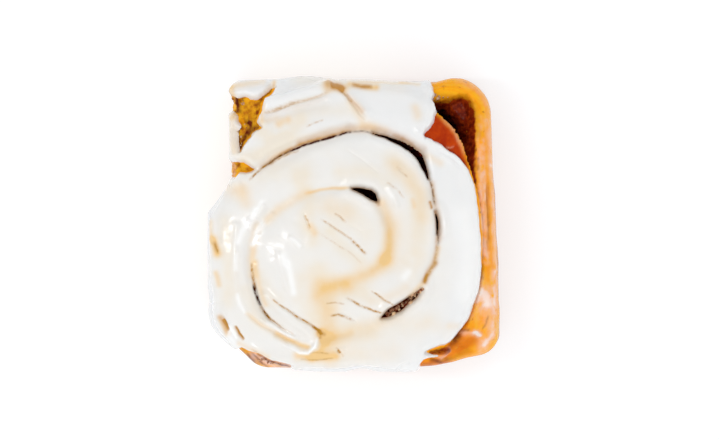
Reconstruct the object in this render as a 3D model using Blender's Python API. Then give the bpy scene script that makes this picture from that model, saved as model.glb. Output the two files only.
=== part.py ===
"""Maple cinnamon roll, in metres, +Z up, standing on z = 0 with the origin under its middle.

One strip of dough is wound into a swirl and baked square. Cinnamon filling runs between its turns, and a thick
icing lies over the swirl, runs down the left and front sides, and leaves the browned outer turn bare on the right.

A place on the strip has two coordinates. Its turn angle is counted in degrees from +X, anticlockwise seen from
above, and grows by 360 with each turn outwards. Its share goes from 0 at the strip's inner lip to 1 at its outer lip.
"""

import math

import bmesh
import bpy
import numpy as np
from mathutils import Vector, noise

MM = 0.001
TURN = 360.0

# The swirl, seen from above
SWIRL_CENTRE = (-9.31 * MM, -12.89 * MM)
COLUMN_STEP = 6.0
STRIP_START = -270.0
# The wound strip up to where its side shows no more, and the bare outer turn that shows again from the front on
STRETCHES = ((STRIP_START, 852.0), (1044.0, 1212.0))
STRIP_SHARES = (0.0, 0.07, 0.22, 0.5, 0.78, 0.93, 1.0)
LAST_SHARE = len(STRIP_SHARES) - 1
WELD_GRID = 0.002 * MM

# Turn angle and radius in mm of the groove between two turns, from the middle to where it opens on the left side
INNER_GROOVE_MM = (
    (-270, 0.0), (-225, 4.0), (-180, 6.3), (-135, 7.9), (-90, 8.4), (-45, 10.1), (-20, 14.8), (10, 22.8),
    (40, 25.8), (62, 27.6), (88, 25.0), (120, 24.0), (160, 25.8), (200, 25.9), (245, 27.2), (284, 24.5),
    (315, 27.0), (340, 32.0), (365, 38.0), (390, 42.6), (409, 48.0), (432, 46.6), (455, 40.9), (487, 39.3),
    (501, 43.6),
)
# The same for the groove inside the bare outer turn, from the front to the back left corner
OUTER_GROOVE_MM = (
    (680, 48.9), (690, 51.2), (720, 53.3), (750, 58.0), (774, 62.0), (800, 59.8), (820, 55.6), (840, 53.0),
    (862, 43.4),
)
NO_GROOVE = 1.0

# Turn angle and width in mm of the slit that each groove opens between the turns
SLIT_MM = (
    (-270, 0.0), (-105, 0.0), (-60, 1.0), (25, 1.2), (46, 2.0), (58, 3.2), (68, 2.4), (80, 1.2), (200, 1.2),
    (310, 1.4), (325, 2.8), (340, 2.2), (360, 1.4), (380, 1.8), (392, 1.4), (405, 2.8), (422, 2.8), (438, 1.4),
    (501, 1.2), (652, 1.2), (745, 1.2), (750, 1.6), (756, 3.6), (762, 7.4), (768, 9.6), (773, 9.2), (780, 5.6),
    (788, 2.6), (800, 1.4), (820, 1.2), (846, 0.0), (1300, 0.0),
)
# Past this turn angle a slit widens outwards only, so that its inner lip stays on the groove
ONE_SIDED_FROM = 640.0
NARROW_SLIT = 1.2 * MM
# Stretches of a groove that the icing leaves open
OPEN_SLITS = ((45, 75), (315, 352), (367, 382), (397, 427))

# The block's outline: corners in mm from the swirl's centre, each with its fillet radius, anticlockwise from the
# back right
OUTLINE_MM = (
    ((56.7, 63.9), 13.0), ((-33.4, 62.7), 4.0), ((-34.0, 26.5), 6.0), ((-39.4, 14.8), 10.0),
    ((-39.7, -20.6), 14.0), ((-23.2, -36.7), 9.0), ((37.2, -36.3), 30.0), ((60.2, -31.2), 8.0),
)
ARC_STEPS = 8
SIDE_STEPS = 20

# Heights
TOP_MIDDLE = 45.0 * MM
TOP_EDGE = 37.5 * MM
DOME_CENTRE = (SWIRL_CENTRE[0] + 3.2 * MM, SWIRL_CENTRE[1] + 4.1 * MM)
DOME_REACH = 58.0 * MM
DOME_LIMIT = 1.2
OUTER_TURN_DROP = 2.0 * MM
OUTER_TURN_SLOPE = 4.0 * MM
LIP_RADIUS = 5.5 * MM
LIP_DROP = 3.6 * MM
# The share of a quarter circle that a lip's rounding takes, squared
LIP_ROUNDNESS = 0.96
LIP_FADE = (-270.0, -110.0)
RIM_INSET = 1.4 * MM
RIM_DROP = 4.5 * MM
BELLY_TOP = 0.45
WALL_RINGS = (0.02, 0.1, 0.35, 0.65, 0.9)
FOOT_INSET = 1.6 * MM
FOOT_TOP = 0.14
# The torn crumb grows towards the left and towards the back between these places
CRAG_LEFT = (-22.0 * MM, -34.0 * MM)
CRAG_BACK = (12.0 * MM, 24.0 * MM)
CRAG_DEPTH = 0.9 * MM
CRAG_SIZE = 5.0 * MM

# The filling between the turns
FILLING_CLEARANCE = 0.3 * MM
FILLING_FOOT = 0.4 * MM
FILLING_BELOW_LIP = 2.2 * MM
POCKET_FLOOR_DROP = 11.0 * MM
POCKET_WIDTH = 8.0 * MM
FILLING_CROWN = 0.25

# The icing
ICING_CLEARANCE = 0.5 * MM
ICING_ON_CROWN = 1.7 * MM
ICING_IN_GROOVE = 2.9 * MM
ICING_EDGE = 1.0 * MM
ICING_EDGE_SLOPE = 0.4
ICING_NARROWEST = 0.6 * MM
SKIRT_SHARES = (0.12, 0.35, 0.68, 1.0)
SKIRT_THICKNESS = 1.9 * MM
SKIRT_SWELL = 0.15
SKIRT_THINNING = 0.35
SKIRT_LIFT = 0.2 * MM
# Polar angle and radius in mm to which the icing reaches; past SKIRT_REACH it runs down the side
SKIRT_REACH = 80.0
ICING_REACH_MM = (
    (0, 52.6), (15, 53.0), (30, 56.2), (38, 56.6), (44, 56.0), (48, 56.5), (52, 62.0), (57, 66.8), (60, 70.0),
    (61, 90.0), (103, 90.0), (104, 62.0), (108, 56.0), (114, 52.9), (120, 47.5), (126, 44.5), (132, 41.6),
    (138, 43.0), (143, 43.0), (144, 90.0), (223, 90.0), (224, 41.0), (248, 38.8), (249, 90.0), (305, 90.0),
    (306, 51.0), (318, 51.0), (324, 48.6), (330, 49.4), (338, 51.0), (350, 52.4), (360, 52.6),
)
# Polar angle and depth in mm of the icing that runs down the side
SKIRT_DEPTH_MM = (
    (60, 2.0), (75, 4.0), (90, 3.0), (104, 2.0), (140, 3.0), (150, 9.0), (160, 15.0), (172, 11.0), (183, 17.0),
    (196, 12.0), (208, 16.0), (220, 8.0), (236, 4.0), (250, 4.0), (262, 9.0), (276, 13.0), (288, 9.0), (298, 13.0),
    (306, 8.0),
)


def smooth_curve(pairs):
    """A function of an angle that runs smoothly through the (angle, value) pairs."""
    knots, values = np.array(pairs, float).T
    slopes = np.gradient(values, knots)

    def curve(angle):
        at = min(max(angle, knots[0]), knots[-1])
        i = min(max(int(np.searchsorted(knots, at)) - 1, 0), len(knots) - 2)
        span = knots[i + 1] - knots[i]
        u = (at - knots[i]) / span
        rise = values[i + 1] - values[i]
        pull = span * (slopes[i] * u * (1 - u) ** 2 - slopes[i + 1] * u * u * (1 - u))
        return values[i] + rise * u * u * (3 - 2 * u) + pull

    return curve


def straight_curve(pairs):
    """A function of an angle that runs straight between the (angle, value) pairs."""
    knots, values = np.array(pairs, float).T
    return lambda angle: float(np.interp(angle, knots, values))


def smooth_step(low, high, value):
    u = min(max((value - low) / (high - low), 0.0), 1.0)
    return u * u * (3 - 2 * u)


inner_groove = smooth_curve(INNER_GROOVE_MM)
outer_groove = smooth_curve(OUTER_GROOVE_MM)
slit_width = straight_curve(SLIT_MM)
icing_reach = straight_curve(ICING_REACH_MM)
skirt_depth = smooth_curve(SKIRT_DEPTH_MM)


def plan(angle, radius):
    """The point in plan at this polar angle and radius from the swirl's centre."""
    a = math.radians(angle)
    return SWIRL_CENTRE[0] + radius * math.cos(a), SWIRL_CENTRE[1] + radius * math.sin(a)


def outline_points():
    """The outline in plan from the swirl's centre, with an arc at each corner."""
    corners = [(Vector(at) * MM, radius * MM) for at, radius in OUTLINE_MM]
    points = []
    for i, (corner, radius) in enumerate(corners):
        before = (corners[i - 1][0] - corner).normalized()
        after = (corners[(i + 1) % len(corners)][0] - corner).normalized()
        half = before.angle(after) / 2
        middle = corner + (before + after).normalized() * radius / math.sin(half)
        start = corner + before * radius / math.tan(half) - middle
        end = corner + after * radius / math.tan(half) - middle
        for k in range(ARC_STEPS + 1):
            points.append(middle + start.slerp(end, k / ARC_STEPS).normalized() * radius)
    sides = zip(points, points[1:] + points[:1])
    return [a.lerp(b, k / SIDE_STEPS) for a, b in sides for k in range(SIDE_STEPS)]


def outline_curve():
    """The outline's radius from the swirl's centre as a function of the polar angle."""
    points = outline_points()
    angles = np.degrees([math.atan2(p.y, p.x) for p in points]) % TURN
    radii = np.array([p.length for p in points])
    order = np.argsort(angles)
    return lambda angle: float(np.interp(angle % TURN, angles[order], radii[order], period=TURN))


outline_radius = outline_curve()


def rim_radius(angle):
    """The radius at which the top ends and the side begins."""
    return outline_radius(angle) - RIM_INSET


def groove_radius(turn_angle):
    """The radius of the groove on the strip's outer side, or a large one where the strip has the outside there."""
    if turn_angle <= INNER_GROOVE_MM[-1][0]:
        return inner_groove(turn_angle) * MM
    if OUTER_GROOVE_MM[0][0] <= turn_angle <= OUTER_GROOVE_MM[-1][0]:
        return outer_groove(turn_angle) * MM
    return NO_GROOVE


def slit_sides(turn_angle):
    """How far the slit reaches inwards and outwards from the groove's line."""
    width = slit_width(turn_angle) * MM
    if turn_angle < ONE_SIDED_FROM:
        return width / 2, width / 2
    inwards = min(width, NARROW_SLIT) / 2
    return inwards, width - inwards


def strip_edges(turn_angle):
    """The radii of the strip's inner and outer lips."""
    rim = rim_radius(turn_angle)
    inner = 0.0
    if turn_angle - TURN > STRIP_START:
        inner = groove_radius(turn_angle - TURN) + slit_sides(turn_angle - TURN)[1]
    outer = groove_radius(turn_angle) - slit_sides(turn_angle)[0]
    return min(inner, rim), min(outer, rim)


def lip_fade(turn_angle):
    """The groove's depth as a share of its full depth: it dies out towards the middle."""
    return smooth_step(*LIP_FADE, turn_angle)


def lip_drop(distance):
    """How far the crown of a turn has fallen at this distance from its lip."""
    u = min(max(1 - distance / LIP_RADIUS, 0.0), 1.0)
    return LIP_DROP * (1 - math.sqrt(1 - LIP_ROUNDNESS * u * u)) / (1 - math.sqrt(1 - LIP_ROUNDNESS))


def dome_height(x, y):
    """The height of the top without its grooves."""
    reach = math.hypot(x - DOME_CENTRE[0], y - DOME_CENTRE[1]) / DOME_REACH
    return TOP_MIDDLE - (TOP_MIDDLE - TOP_EDGE) * min(reach, DOME_LIMIT) ** 2


def crags(x, y):
    """Relief of the torn crumb at the back left corner."""
    bare = smooth_step(*CRAG_LEFT, x) * smooth_step(*CRAG_BACK, y)
    return CRAG_DEPTH * bare * noise.noise(Vector((x, y, 0)) / CRAG_SIZE)


def top_height(turn_angle, radius):
    """The height of the dough's top at this place on the strip."""
    inner, outer = strip_edges(turn_angle)
    x, y = plan(turn_angle, radius)
    height = dome_height(x, y) + crags(x, y)
    height -= lip_fade(turn_angle - TURN) * lip_drop(radius - inner)
    rim = rim_radius(turn_angle)
    if outer < rim:
        height -= lip_fade(turn_angle) * lip_drop(outer - radius)
    if turn_angle > OUTER_GROOVE_MM[0][0] + TURN:
        height -= OUTER_TURN_DROP * smooth_step(0.0, OUTER_TURN_SLOPE, radius - inner)
    return height - RIM_DROP * lip_drop(rim - radius) / LIP_DROP


def side_inset(share):
    """How far the side stands in from the outline, at this share of its height."""
    belly = RIM_INSET * smooth_step(BELLY_TOP, 1.0, share)
    return belly + FOOT_INSET * (1 - smooth_step(0.0, FOOT_TOP, share))


def columns(start, end):
    """The turn angles at which this stretch of the strip has a cross-section."""
    count = round((end - start) / COLUMN_STEP)
    return [start + COLUMN_STEP * i for i in range(count + 1)]


def new_object(name, bm, collection):
    mesh = bpy.data.meshes.new(name)
    bm.to_mesh(mesh)
    bm.free()
    obj = bpy.data.objects.new(name, mesh)
    collection.objects.link(obj)
    return obj


def add_quad(bm, corners):
    """A face on these corners, or none where they have shrunk to a line."""
    kept = [v for i, v in enumerate(corners) if v is not corners[i - 1]]
    if len(kept) > 2:
        bm.faces.new(kept)


def shared_vertex(bm, made, x, y, z):
    """The vertex already made at this place in plan, or a new one: it closes the strip up where it has no slit."""
    place = (round(x / WELD_GRID), round(y / WELD_GRID))
    if place not in made:
        made[place] = bm.verts.new((x, y, z))
    return made[place]


def dough_top(bm):
    """The top of the wound strip as an open sheet, cut along its slits."""
    made = {}
    for stretch in STRETCHES:
        grid = []
        for turn_angle in columns(*stretch):
            inner, outer = strip_edges(turn_angle)
            column = []
            for share in STRIP_SHARES:
                radius = inner + (outer - inner) * share
                x, y = plan(turn_angle, radius)
                column.append(shared_vertex(bm, made, x, y, top_height(turn_angle, radius)))
            grid.append(column)
        for here, after in zip(grid, grid[1:]):
            for j in range(LAST_SHARE):
                add_quad(bm, (here[j], here[j + 1], after[j + 1], after[j]))


def at_rim(vertex):
    """Whether this vertex stands on the block's rim, seen from above."""
    dx, dy = vertex.co.x - SWIRL_CENTRE[0], vertex.co.y - SWIRL_CENTRE[1]
    return math.hypot(dx, dy) > rim_radius(math.degrees(math.atan2(dy, dx))) - 0.02 * MM


def cut_rings(bm):
    """Cuts the outer walls along level rings."""
    for share in WALL_RINGS:
        level = share * (TOP_EDGE - RIM_DROP - 2 * OUTER_TURN_DROP)
        walls = [f for f in bm.faces if abs(f.normal.z) < 0.1 and all(at_rim(v) for v in f.verts)]
        edges = {e for f in walls for e in f.edges}
        verts = {v for f in walls for v in f.verts}
        bmesh.ops.bisect_plane(
            bm, geom=walls + list(edges) + list(verts), dist=1e-7, plane_co=(0, 0, level), plane_no=(0, 0, 1)
        )


def shape_sides(bm):
    """Lets the outer walls swell out to the outline between the rim and the foot."""
    for v in [v for v in bm.verts if at_rim(v)]:
        dx, dy = v.co.x - SWIRL_CENTRE[0], v.co.y - SWIRL_CENTRE[1]
        angle = math.degrees(math.atan2(dy, dx))
        rim = rim_radius(angle)
        rim_height = dome_height(*plan(angle, rim)) - RIM_DROP - OUTER_TURN_DROP
        share = min(v.co.z / rim_height, 1.0)
        v.co.x, v.co.y = plan(angle, rim + RIM_INSET - side_inset(share))


def make_dough(collection):
    """The strip of dough: its top sheet drawn down to the table, with the sides swollen."""
    bm = bmesh.new()
    dough_top(bm)
    drawn = bmesh.ops.extrude_face_region(bm, geom=list(bm.faces))
    for v in drawn["geom"]:
        if isinstance(v, bmesh.types.BMVert):
            v.co.z = 0.0
    bm.normal_update()
    cut_rings(bm)
    shape_sides(bm)
    bmesh.ops.recalc_face_normals(bm, faces=bm.faces)
    return new_object("dough", bm, collection)


def make_filling(name, start, end, collection):
    """A ribbon of cinnamon filling in the slit between two turns, from the foot to just under the lips."""
    bm = bmesh.new()
    sections = []
    for turn_angle in columns(start, end):
        inwards, outwards = slit_sides(turn_angle)
        groove = groove_radius(turn_angle)
        pocket = smooth_step(NARROW_SLIT, POCKET_WIDTH, inwards + outwards)
        drop = FILLING_BELOW_LIP + (POCKET_FLOOR_DROP - FILLING_BELOW_LIP) * pocket
        section = []
        for radius in (groove - inwards + FILLING_CLEARANCE, groove + outwards - FILLING_CLEARANCE):
            x, y = plan(turn_angle, radius)
            top = dome_height(x, y) - LIP_DROP - OUTER_TURN_DROP - drop
            section.append(((x, y, FILLING_FOOT), (x, y, top)))
        (foot_in, top_in), (foot_out, top_out) = section
        middle = [(a + b) / 2 for a, b in zip(top_in, top_out)]
        middle[2] += FILLING_CROWN * (inwards + outwards)
        sections.append([bm.verts.new(p) for p in (foot_in, top_in, middle, top_out, foot_out)])
    for here, after in zip(sections, sections[1:]):
        for j in range(len(here)):
            k = (j + 1) % len(here)
            bm.faces.new((here[j], here[k], after[k], after[j]))
    bm.faces.new(sections[0])
    bm.faces.new(sections[-1][::-1])
    bmesh.ops.recalc_face_normals(bm, faces=bm.faces)
    return new_object(name, bm, collection)


def slit_is_open(turn_angle):
    return any(low <= turn_angle and turn_angle + COLUMN_STEP <= high for low, high in OPEN_SLITS)


def icing_radii(turn_angle):
    """The radii at which the icing has vertices: those of the dough, as far as the icing reaches."""
    inner, outer = strip_edges(turn_angle)
    reach = icing_reach(turn_angle % TURN) * MM
    radii = [inner + (outer - inner) * share for share in STRIP_SHARES]
    if reach >= outer:
        return radii
    kept = [radius for radius in radii if radius < reach - ICING_NARROWEST]
    return kept + [reach] if kept else []


def icing_columns(bm):
    """The icing's underside, a column of vertices for each turn angle that has icing, and its thickness there."""
    grid, thickness, made = {}, {}, {}
    for turn_angle in columns(*STRETCHES[0]) + columns(*STRETCHES[1]):
        inner, outer = strip_edges(turn_angle)
        radii = icing_radii(turn_angle)
        column = []
        for radius in radii:
            x, y = plan(turn_angle, radius)
            lip = max(lip_drop(radius - inner) * lip_fade(turn_angle - TURN), lip_drop(outer - radius))
            vertex = shared_vertex(bm, made, x, y, top_height(turn_angle, radius) + ICING_CLEARANCE)
            depth = ICING_ON_CROWN + (ICING_IN_GROOVE - ICING_ON_CROWN) * lip / LIP_DROP
            if radii[-1] < outer:
                depth = min(depth, ICING_EDGE + ICING_EDGE_SLOPE * (radii[-1] - radius))
            thickness[vertex] = Vector((0, 0, depth))
            column.append(vertex)
        if column and outer >= rim_radius(turn_angle) and icing_reach(turn_angle % TURN) > SKIRT_REACH:
            add_skirt(bm, turn_angle % TURN, column, thickness)
        if column:
            grid[turn_angle] = column
    return grid, thickness


def add_skirt(bm, angle, column, thickness):
    """Carries a column of the icing on over the rim and down the side."""
    rim = rim_radius(angle)
    rim_height = column[-1].co.z - ICING_CLEARANCE
    depth = skirt_depth(angle) * MM
    out = Vector((math.cos(math.radians(angle)), math.sin(math.radians(angle)), 0))
    swell = min(SKIRT_THICKNESS, ICING_EDGE / 2 + SKIRT_SWELL * depth)
    thickness[column[-1]] = (out + Vector((0, 0, 1))).normalized() * swell
    for share in SKIRT_SHARES:
        height = rim_height - depth * share
        radius = rim + RIM_INSET - side_inset(height / rim_height) + ICING_CLEARANCE
        x, y = plan(angle, radius)
        vertex = bm.verts.new((x, y, height))
        thickness[vertex] = out * swell * (1 - SKIRT_THINNING * share) + Vector((0, 0, SKIRT_LIFT))
        column.append(vertex)


def icing_underside(bm):
    """The icing's underside as an open sheet that bridges the closed stretches of the grooves."""
    grid, thickness = icing_columns(bm)
    for turn_angle, here in grid.items():
        after = grid.get(turn_angle + COLUMN_STEP)
        if after is None:
            continue
        both = min(len(here), len(after))
        for j in range(both - 1):
            add_quad(bm, (here[j], here[j + 1], after[j + 1], after[j]))
        if both <= LAST_SHARE:
            add_quad(bm, (here[both - 1], *here[both:both + 1], *after[both:both + 1], after[both - 1]))
        outer, outer_after = grid.get(turn_angle + TURN), grid.get(turn_angle + TURN + COLUMN_STEP)
        if outer and outer_after and len(here) == len(after) == LAST_SHARE + 1 and not slit_is_open(turn_angle):
            add_quad(bm, (here[-1], outer[0], outer_after[0], after[-1]))
    return thickness


def place_key(vertex):
    """The vertex's place, rounded so that it finds the copy that an extrusion made of it."""
    return tuple(round(c / WELD_GRID) for c in vertex.co)


def make_icing(collection):
    """The icing: its underside drawn up to its thickness."""
    bm = bmesh.new()
    thickness = icing_underside(bm)
    rise = {place_key(v): depth for v, depth in thickness.items()}
    drawn = bmesh.ops.extrude_face_region(bm, geom=list(bm.faces))
    for v in drawn["geom"]:
        if isinstance(v, bmesh.types.BMVert):
            v.co += rise[place_key(v)]
    loose = [v for v in bm.verts if not v.link_faces]
    bmesh.ops.delete(bm, geom=loose, context="VERTS")
    bmesh.ops.recalc_face_normals(bm, faces=bm.faces)
    return new_object("icing", bm, collection)


def material(name, colour, roughness):
    made = bpy.data.materials.new(name)
    made.use_nodes = True
    shader = made.node_tree.nodes["Principled BSDF"]
    shader.inputs["Base Color"].default_value = (*colour, 1.0)
    shader.inputs["Roughness"].default_value = roughness
    shader.inputs["Metallic"].default_value = 0.0
    return made


def main():
    for obj in list(bpy.data.objects):
        bpy.data.objects.remove(obj)
    roll = bpy.data.collections.new("maple_cinnamon_roll")
    bpy.context.scene.collection.children.link(roll)
    crust = material("crust", (0.72, 0.33, 0.06), 0.45)
    cinnamon = material("cinnamon", (0.09, 0.02, 0.008), 0.35)
    sugar = material("icing", (0.86, 0.82, 0.76), 0.25)
    make_dough(roll).data.materials.append(crust)
    make_filling("filling_inner", -72.0, 492.0, roll).data.materials.append(cinnamon)
    make_filling("filling_outer", 696.0, 834.0, roll).data.materials.append(cinnamon)
    make_icing(roll).data.materials.append(sugar)
    for obj in roll.objects:
        obj.data.shade_smooth()
        obj.data.set_sharp_from_angle(angle=math.radians(50))


main()
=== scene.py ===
import math
import random

import bmesh
import bpy
import numpy as np
from mathutils import Euler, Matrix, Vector, noise


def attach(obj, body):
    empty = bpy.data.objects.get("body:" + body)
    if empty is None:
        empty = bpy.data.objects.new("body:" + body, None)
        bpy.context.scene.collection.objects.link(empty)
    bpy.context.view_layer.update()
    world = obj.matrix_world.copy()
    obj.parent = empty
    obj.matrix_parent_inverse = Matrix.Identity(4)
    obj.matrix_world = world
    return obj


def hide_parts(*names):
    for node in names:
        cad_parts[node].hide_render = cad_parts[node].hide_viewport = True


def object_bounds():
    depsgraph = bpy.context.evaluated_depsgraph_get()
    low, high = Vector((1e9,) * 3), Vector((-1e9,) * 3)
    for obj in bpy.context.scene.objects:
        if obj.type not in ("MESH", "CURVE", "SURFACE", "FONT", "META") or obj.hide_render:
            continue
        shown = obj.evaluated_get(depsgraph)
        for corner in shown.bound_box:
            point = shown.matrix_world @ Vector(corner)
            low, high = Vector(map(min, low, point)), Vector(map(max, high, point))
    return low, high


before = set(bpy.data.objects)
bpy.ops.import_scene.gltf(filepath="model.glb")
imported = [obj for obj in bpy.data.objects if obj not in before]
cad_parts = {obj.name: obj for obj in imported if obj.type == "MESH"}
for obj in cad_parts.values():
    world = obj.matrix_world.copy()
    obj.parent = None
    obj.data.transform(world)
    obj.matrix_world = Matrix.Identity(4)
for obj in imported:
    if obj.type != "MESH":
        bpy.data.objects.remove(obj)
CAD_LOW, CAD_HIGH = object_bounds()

# Lengths are in millimetres until a mesh is made
MM = 0.001
TURN = 360.0
FAR = 1e9
TINY = 1e-9

# The photograph: the width of its pixels on the roll's top, the pixel over the swirl's centre, and its middle
PIXEL = 0.34
SWIRL_PIXEL = (327.0, 262.0)
MIDDLE_PIXEL = (359.5, 220.0)

# The swirl and the block, as in the solids
SWIRL_CENTRE = (-9.31, -12.89)
INNER_GROOVE = (
    (-270, 0.0), (-225, 4.0), (-180, 6.3), (-135, 7.9), (-90, 8.4), (-45, 10.1), (-20, 14.8), (10, 22.8),
    (40, 25.8), (62, 27.6), (88, 25.0), (120, 24.0), (160, 25.8), (200, 25.9), (245, 27.2), (284, 24.5),
    (315, 27.0), (340, 32.0), (365, 38.0), (390, 42.6), (409, 48.0), (432, 46.6), (455, 40.9), (487, 39.3),
    (501, 43.6),
)
OUTER_GROOVE = (
    (680, 48.9), (690, 51.2), (720, 53.3), (750, 58.0), (774, 62.0), (800, 59.8), (820, 55.6), (840, 53.0),
    (862, 43.4),
)
OUTLINE = (
    ((56.7, 63.9), 13.0), ((-33.4, 62.7), 4.0), ((-34.0, 26.5), 6.0), ((-39.4, 14.8), 10.0),
    ((-39.7, -20.6), 14.0), ((-23.2, -36.7), 9.0), ((37.2, -36.3), 30.0), ((60.2, -31.2), 8.0),
)
# How far the rim lies outside this outline, in mm, at polar angles
RIM_SHIFT = (
    (0, 0.5), (16, 0.5), (30, 0.1), (48, 0.2), (53.5, 0.7), (56, 0.4), (57.5, -0.3), (59, -1.2), (62, -1.4),
    (64, -1.3), (68, -1.0), (73, -0.9), (79, -0.4), (84, -0.3), (88, -0.6), (90, -0.3), (92.5, 0.6),
    (96.5, 1.4), (102, 0.9), (107, 0.3), (113, 0.4), (119, 0.6), (123, 0.4), (127, -0.3), (131, -0.4),
    (136, 0.6), (141, -0.2), (160, 0.2), (169, 0.6), (178, 0.3), (186, 0.0), (194, -0.5), (200.6, -1.2),
    (208, -0.2), (215, 0.5), (225, 1.1), (233.5, 1.0), (242, 0.6), (250.5, 0.9), (258, 0.2), (268, -0.3),
    (280, -0.4), (292, -1.0), (298.6, -0.8), (305, 0.7), (311, 0.5), (317, 0.4), (321, 0.4), (326, 0.1),
    (332, 0.1), (342, 0.5), (360, 0.5),
)
ARC_STEPS = 8
SIDE_STEPS = 20
RIM_STEPS = 7200
TOP_MIDDLE = 45.0
TOP_EDGE = 37.5
DOME_CENTRE = (SWIRL_CENTRE[0] + 3.2, SWIRL_CENTRE[1] + 4.1)
DOME_REACH = 58.0
DOME_LIMIT = 1.2
LIP_RADIUS = 5.5
LIP_ROUNDNESS = 0.96
LIP_HEIGHT = 0.8
RIM_INSET = 1.4
RIM_DROP = 4.5
# The sides bulge above this share of the height, and turn in below the other
BULGE_START = 0.45
FOOT_INSET = 1.6
FOOT_TOP = 0.14

# The bare outer turn: where its polar angles start, the angles between which it grows and wanes, and its drop
OUTER_START = 300
OUTER_GROWS = (316, 332)
OUTER_WANES = (484, 500)
OUTER_TURN_DROP = 2.0
OUTER_DROP_REACH = 4.0
OUTER_GROOVE_DEPTH = 1.6
OUTER_GROOVE_HALF = 0.9
OUTER_GROOVE_SYRUP = 0.12
# Polar angles over which the outer groove ends, beside the pocket
GROOVE_END = (396.0, 382.0)
# Degrees over which a groove's slope is measured, and the least radius that it is measured at
SLOPE_STEP = 2
SLOPE_RADIUS = 3.0

# Polar angles of the surface grid's four corners, and its cells along a side
GRID_CORNERS = (-33.0, 48.0, 120.0, 218.0)
ICING_CELLS = 300
ICING_WALL = 22.0
ICING_WALL_RINGS = 30
DOUGH_CELLS = 230
DOUGH_WALL_RINGS = 30
UNDERSIDE_RINGS = 20
UNDERSIDE_SHARE = 0.98

# The underside: its relief, how far from the spiral that fades, its level elsewhere, and how far in it starts
UNDERSIDE_RELIEF = 0.34
SPIRAL_FADE = (4.2, 0.6)
UNDERSIDE_LEVEL = 0.4
UNDERSIDE_START = 4.0

# Bumps: their height, their width, where their noise starts, and the noise value that counts as level
ICING_SWELL = ((0.35, 14.0, 0, 0), (0.16, 6.0, 7, 0), (0.04, 2.5, 11, 0))
ICING_RAGS = ((0.3, 1.6, 0, 0), (0.15, 0.8, 3, 0))
CRUST_WAVES = (0.4, 14.0, 8, 0.8)
CRUST_WRINKLES = (0.25, 5.0, 12, 0.8)
CRUMB_LUMPS = (1.1, 4.5, 3, 0.6)
CRUMB_CRAGS = (0.8, 1.9, 6, 0.5)
TORN_LUMPS = ((1.0, 2.4, 0, 0), (0.9, 1.2, 5, 0))
TORN_EDGE = (9, 9.0, 4, 0)
TOP_WAVES = (0.12, 5.0, 2, 0)
RIM_LANES = (0.3, 1.6, 9, 0)
SPIRAL_RAGS = (0.4, 6.0, 21, 0)
UNDERSIDE_WAVES = (0.4, 6.0, 15, 0)
POCKET_RAGS = (0.5, 1.3, 41, 0)
# Where the noise starts that moves a drawing about, and how far and how broadly it moves each one
WAVER_STARTS = (31.7, 77.1)
EDGE_WAVER = (0.25, 3.0)
ICING_WAVER = (0.22, 4.5)
CRUST_WAVER = (0.3, 2.0)

# The valley that the inner groove leaves in the icing: turn angle, depth, and half-width inwards and outwards
VALLEY = (
    (-250, 0.0, 3.0, 3.0), (-130, 0.4, 4.5, 4.5), (-80, 0.9, 4.0, 4.5), (-20, 1.1, 2.6, 5.5),
    (20, 1.2, 2.4, 6.0), (45, 1.5, 2.2, 4.0), (75, 1.2, 2.0, 3.0), (95, 1.0, 2.4, 2.2),
    (120, 1.2, 3.5, 3.2), (150, 1.6, 5.5, 2.6), (190, 2.2, 6.0, 1.8), (240, 2.2, 6.0, 1.8),
    (265, 1.8, 4.0, 2.0), (285, 1.4, 3.0, 2.4), (300, 1.1, 2.6, 3.0), (320, 1.4, 2.4, 3.2),
    (345, 1.6, 2.4, 4.5), (390, 1.6, 2.2, 5.5), (410, 1.8, 2.4, 5.5), (432, 1.8, 2.4, 4.0),
    (455, 1.8, 2.2, 3.0), (480, 1.5, 2.6, 3.0), (496, 0.9, 3.0, 3.0), (501, 0.6, 3.0, 3.0),
)
ICING_THICKNESS = 1.9
ICING_BEAD = 1.3
ICING_TUCK = 0.3
# The least distance of a grid point from the icing's edge, so that no cut face is a sliver
LEAST_FIELD = 0.04
# How far out the icing leans at the rim, for its thickness there
RIM_LEAN = 0.7
# The icing is thicker beside its edge: by how much, how far in, and over what half-width
EDGE_SWELL = (0.3, 2.0, 1.6)
# Its edge is smooth in front and ragged at the back: the least raggedness, and where it grows
RAGS_IN_FRONT = 0.2
RAGS_GROW = (20.0, 28.0)
# Over these depths below the rim the coat becomes a side's, the lines fade and the stains fade
SIDE_START = (0.0, 4.0)
LINES_FADE = (5.0, 2.0)
STAINS_FADE = (3.5, 1.0)
# The swells are lower by this share on the sides, and the slits' edges are tinted this far in
SIDE_CALM = 0.5
SLIT_TINT = 0.5
# The cream tint over the swirl's middle, and the radii over which it fades
MIDDLE_CREAM = 0.25
MIDDLE_FADE = (47.0, 38.0)

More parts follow.
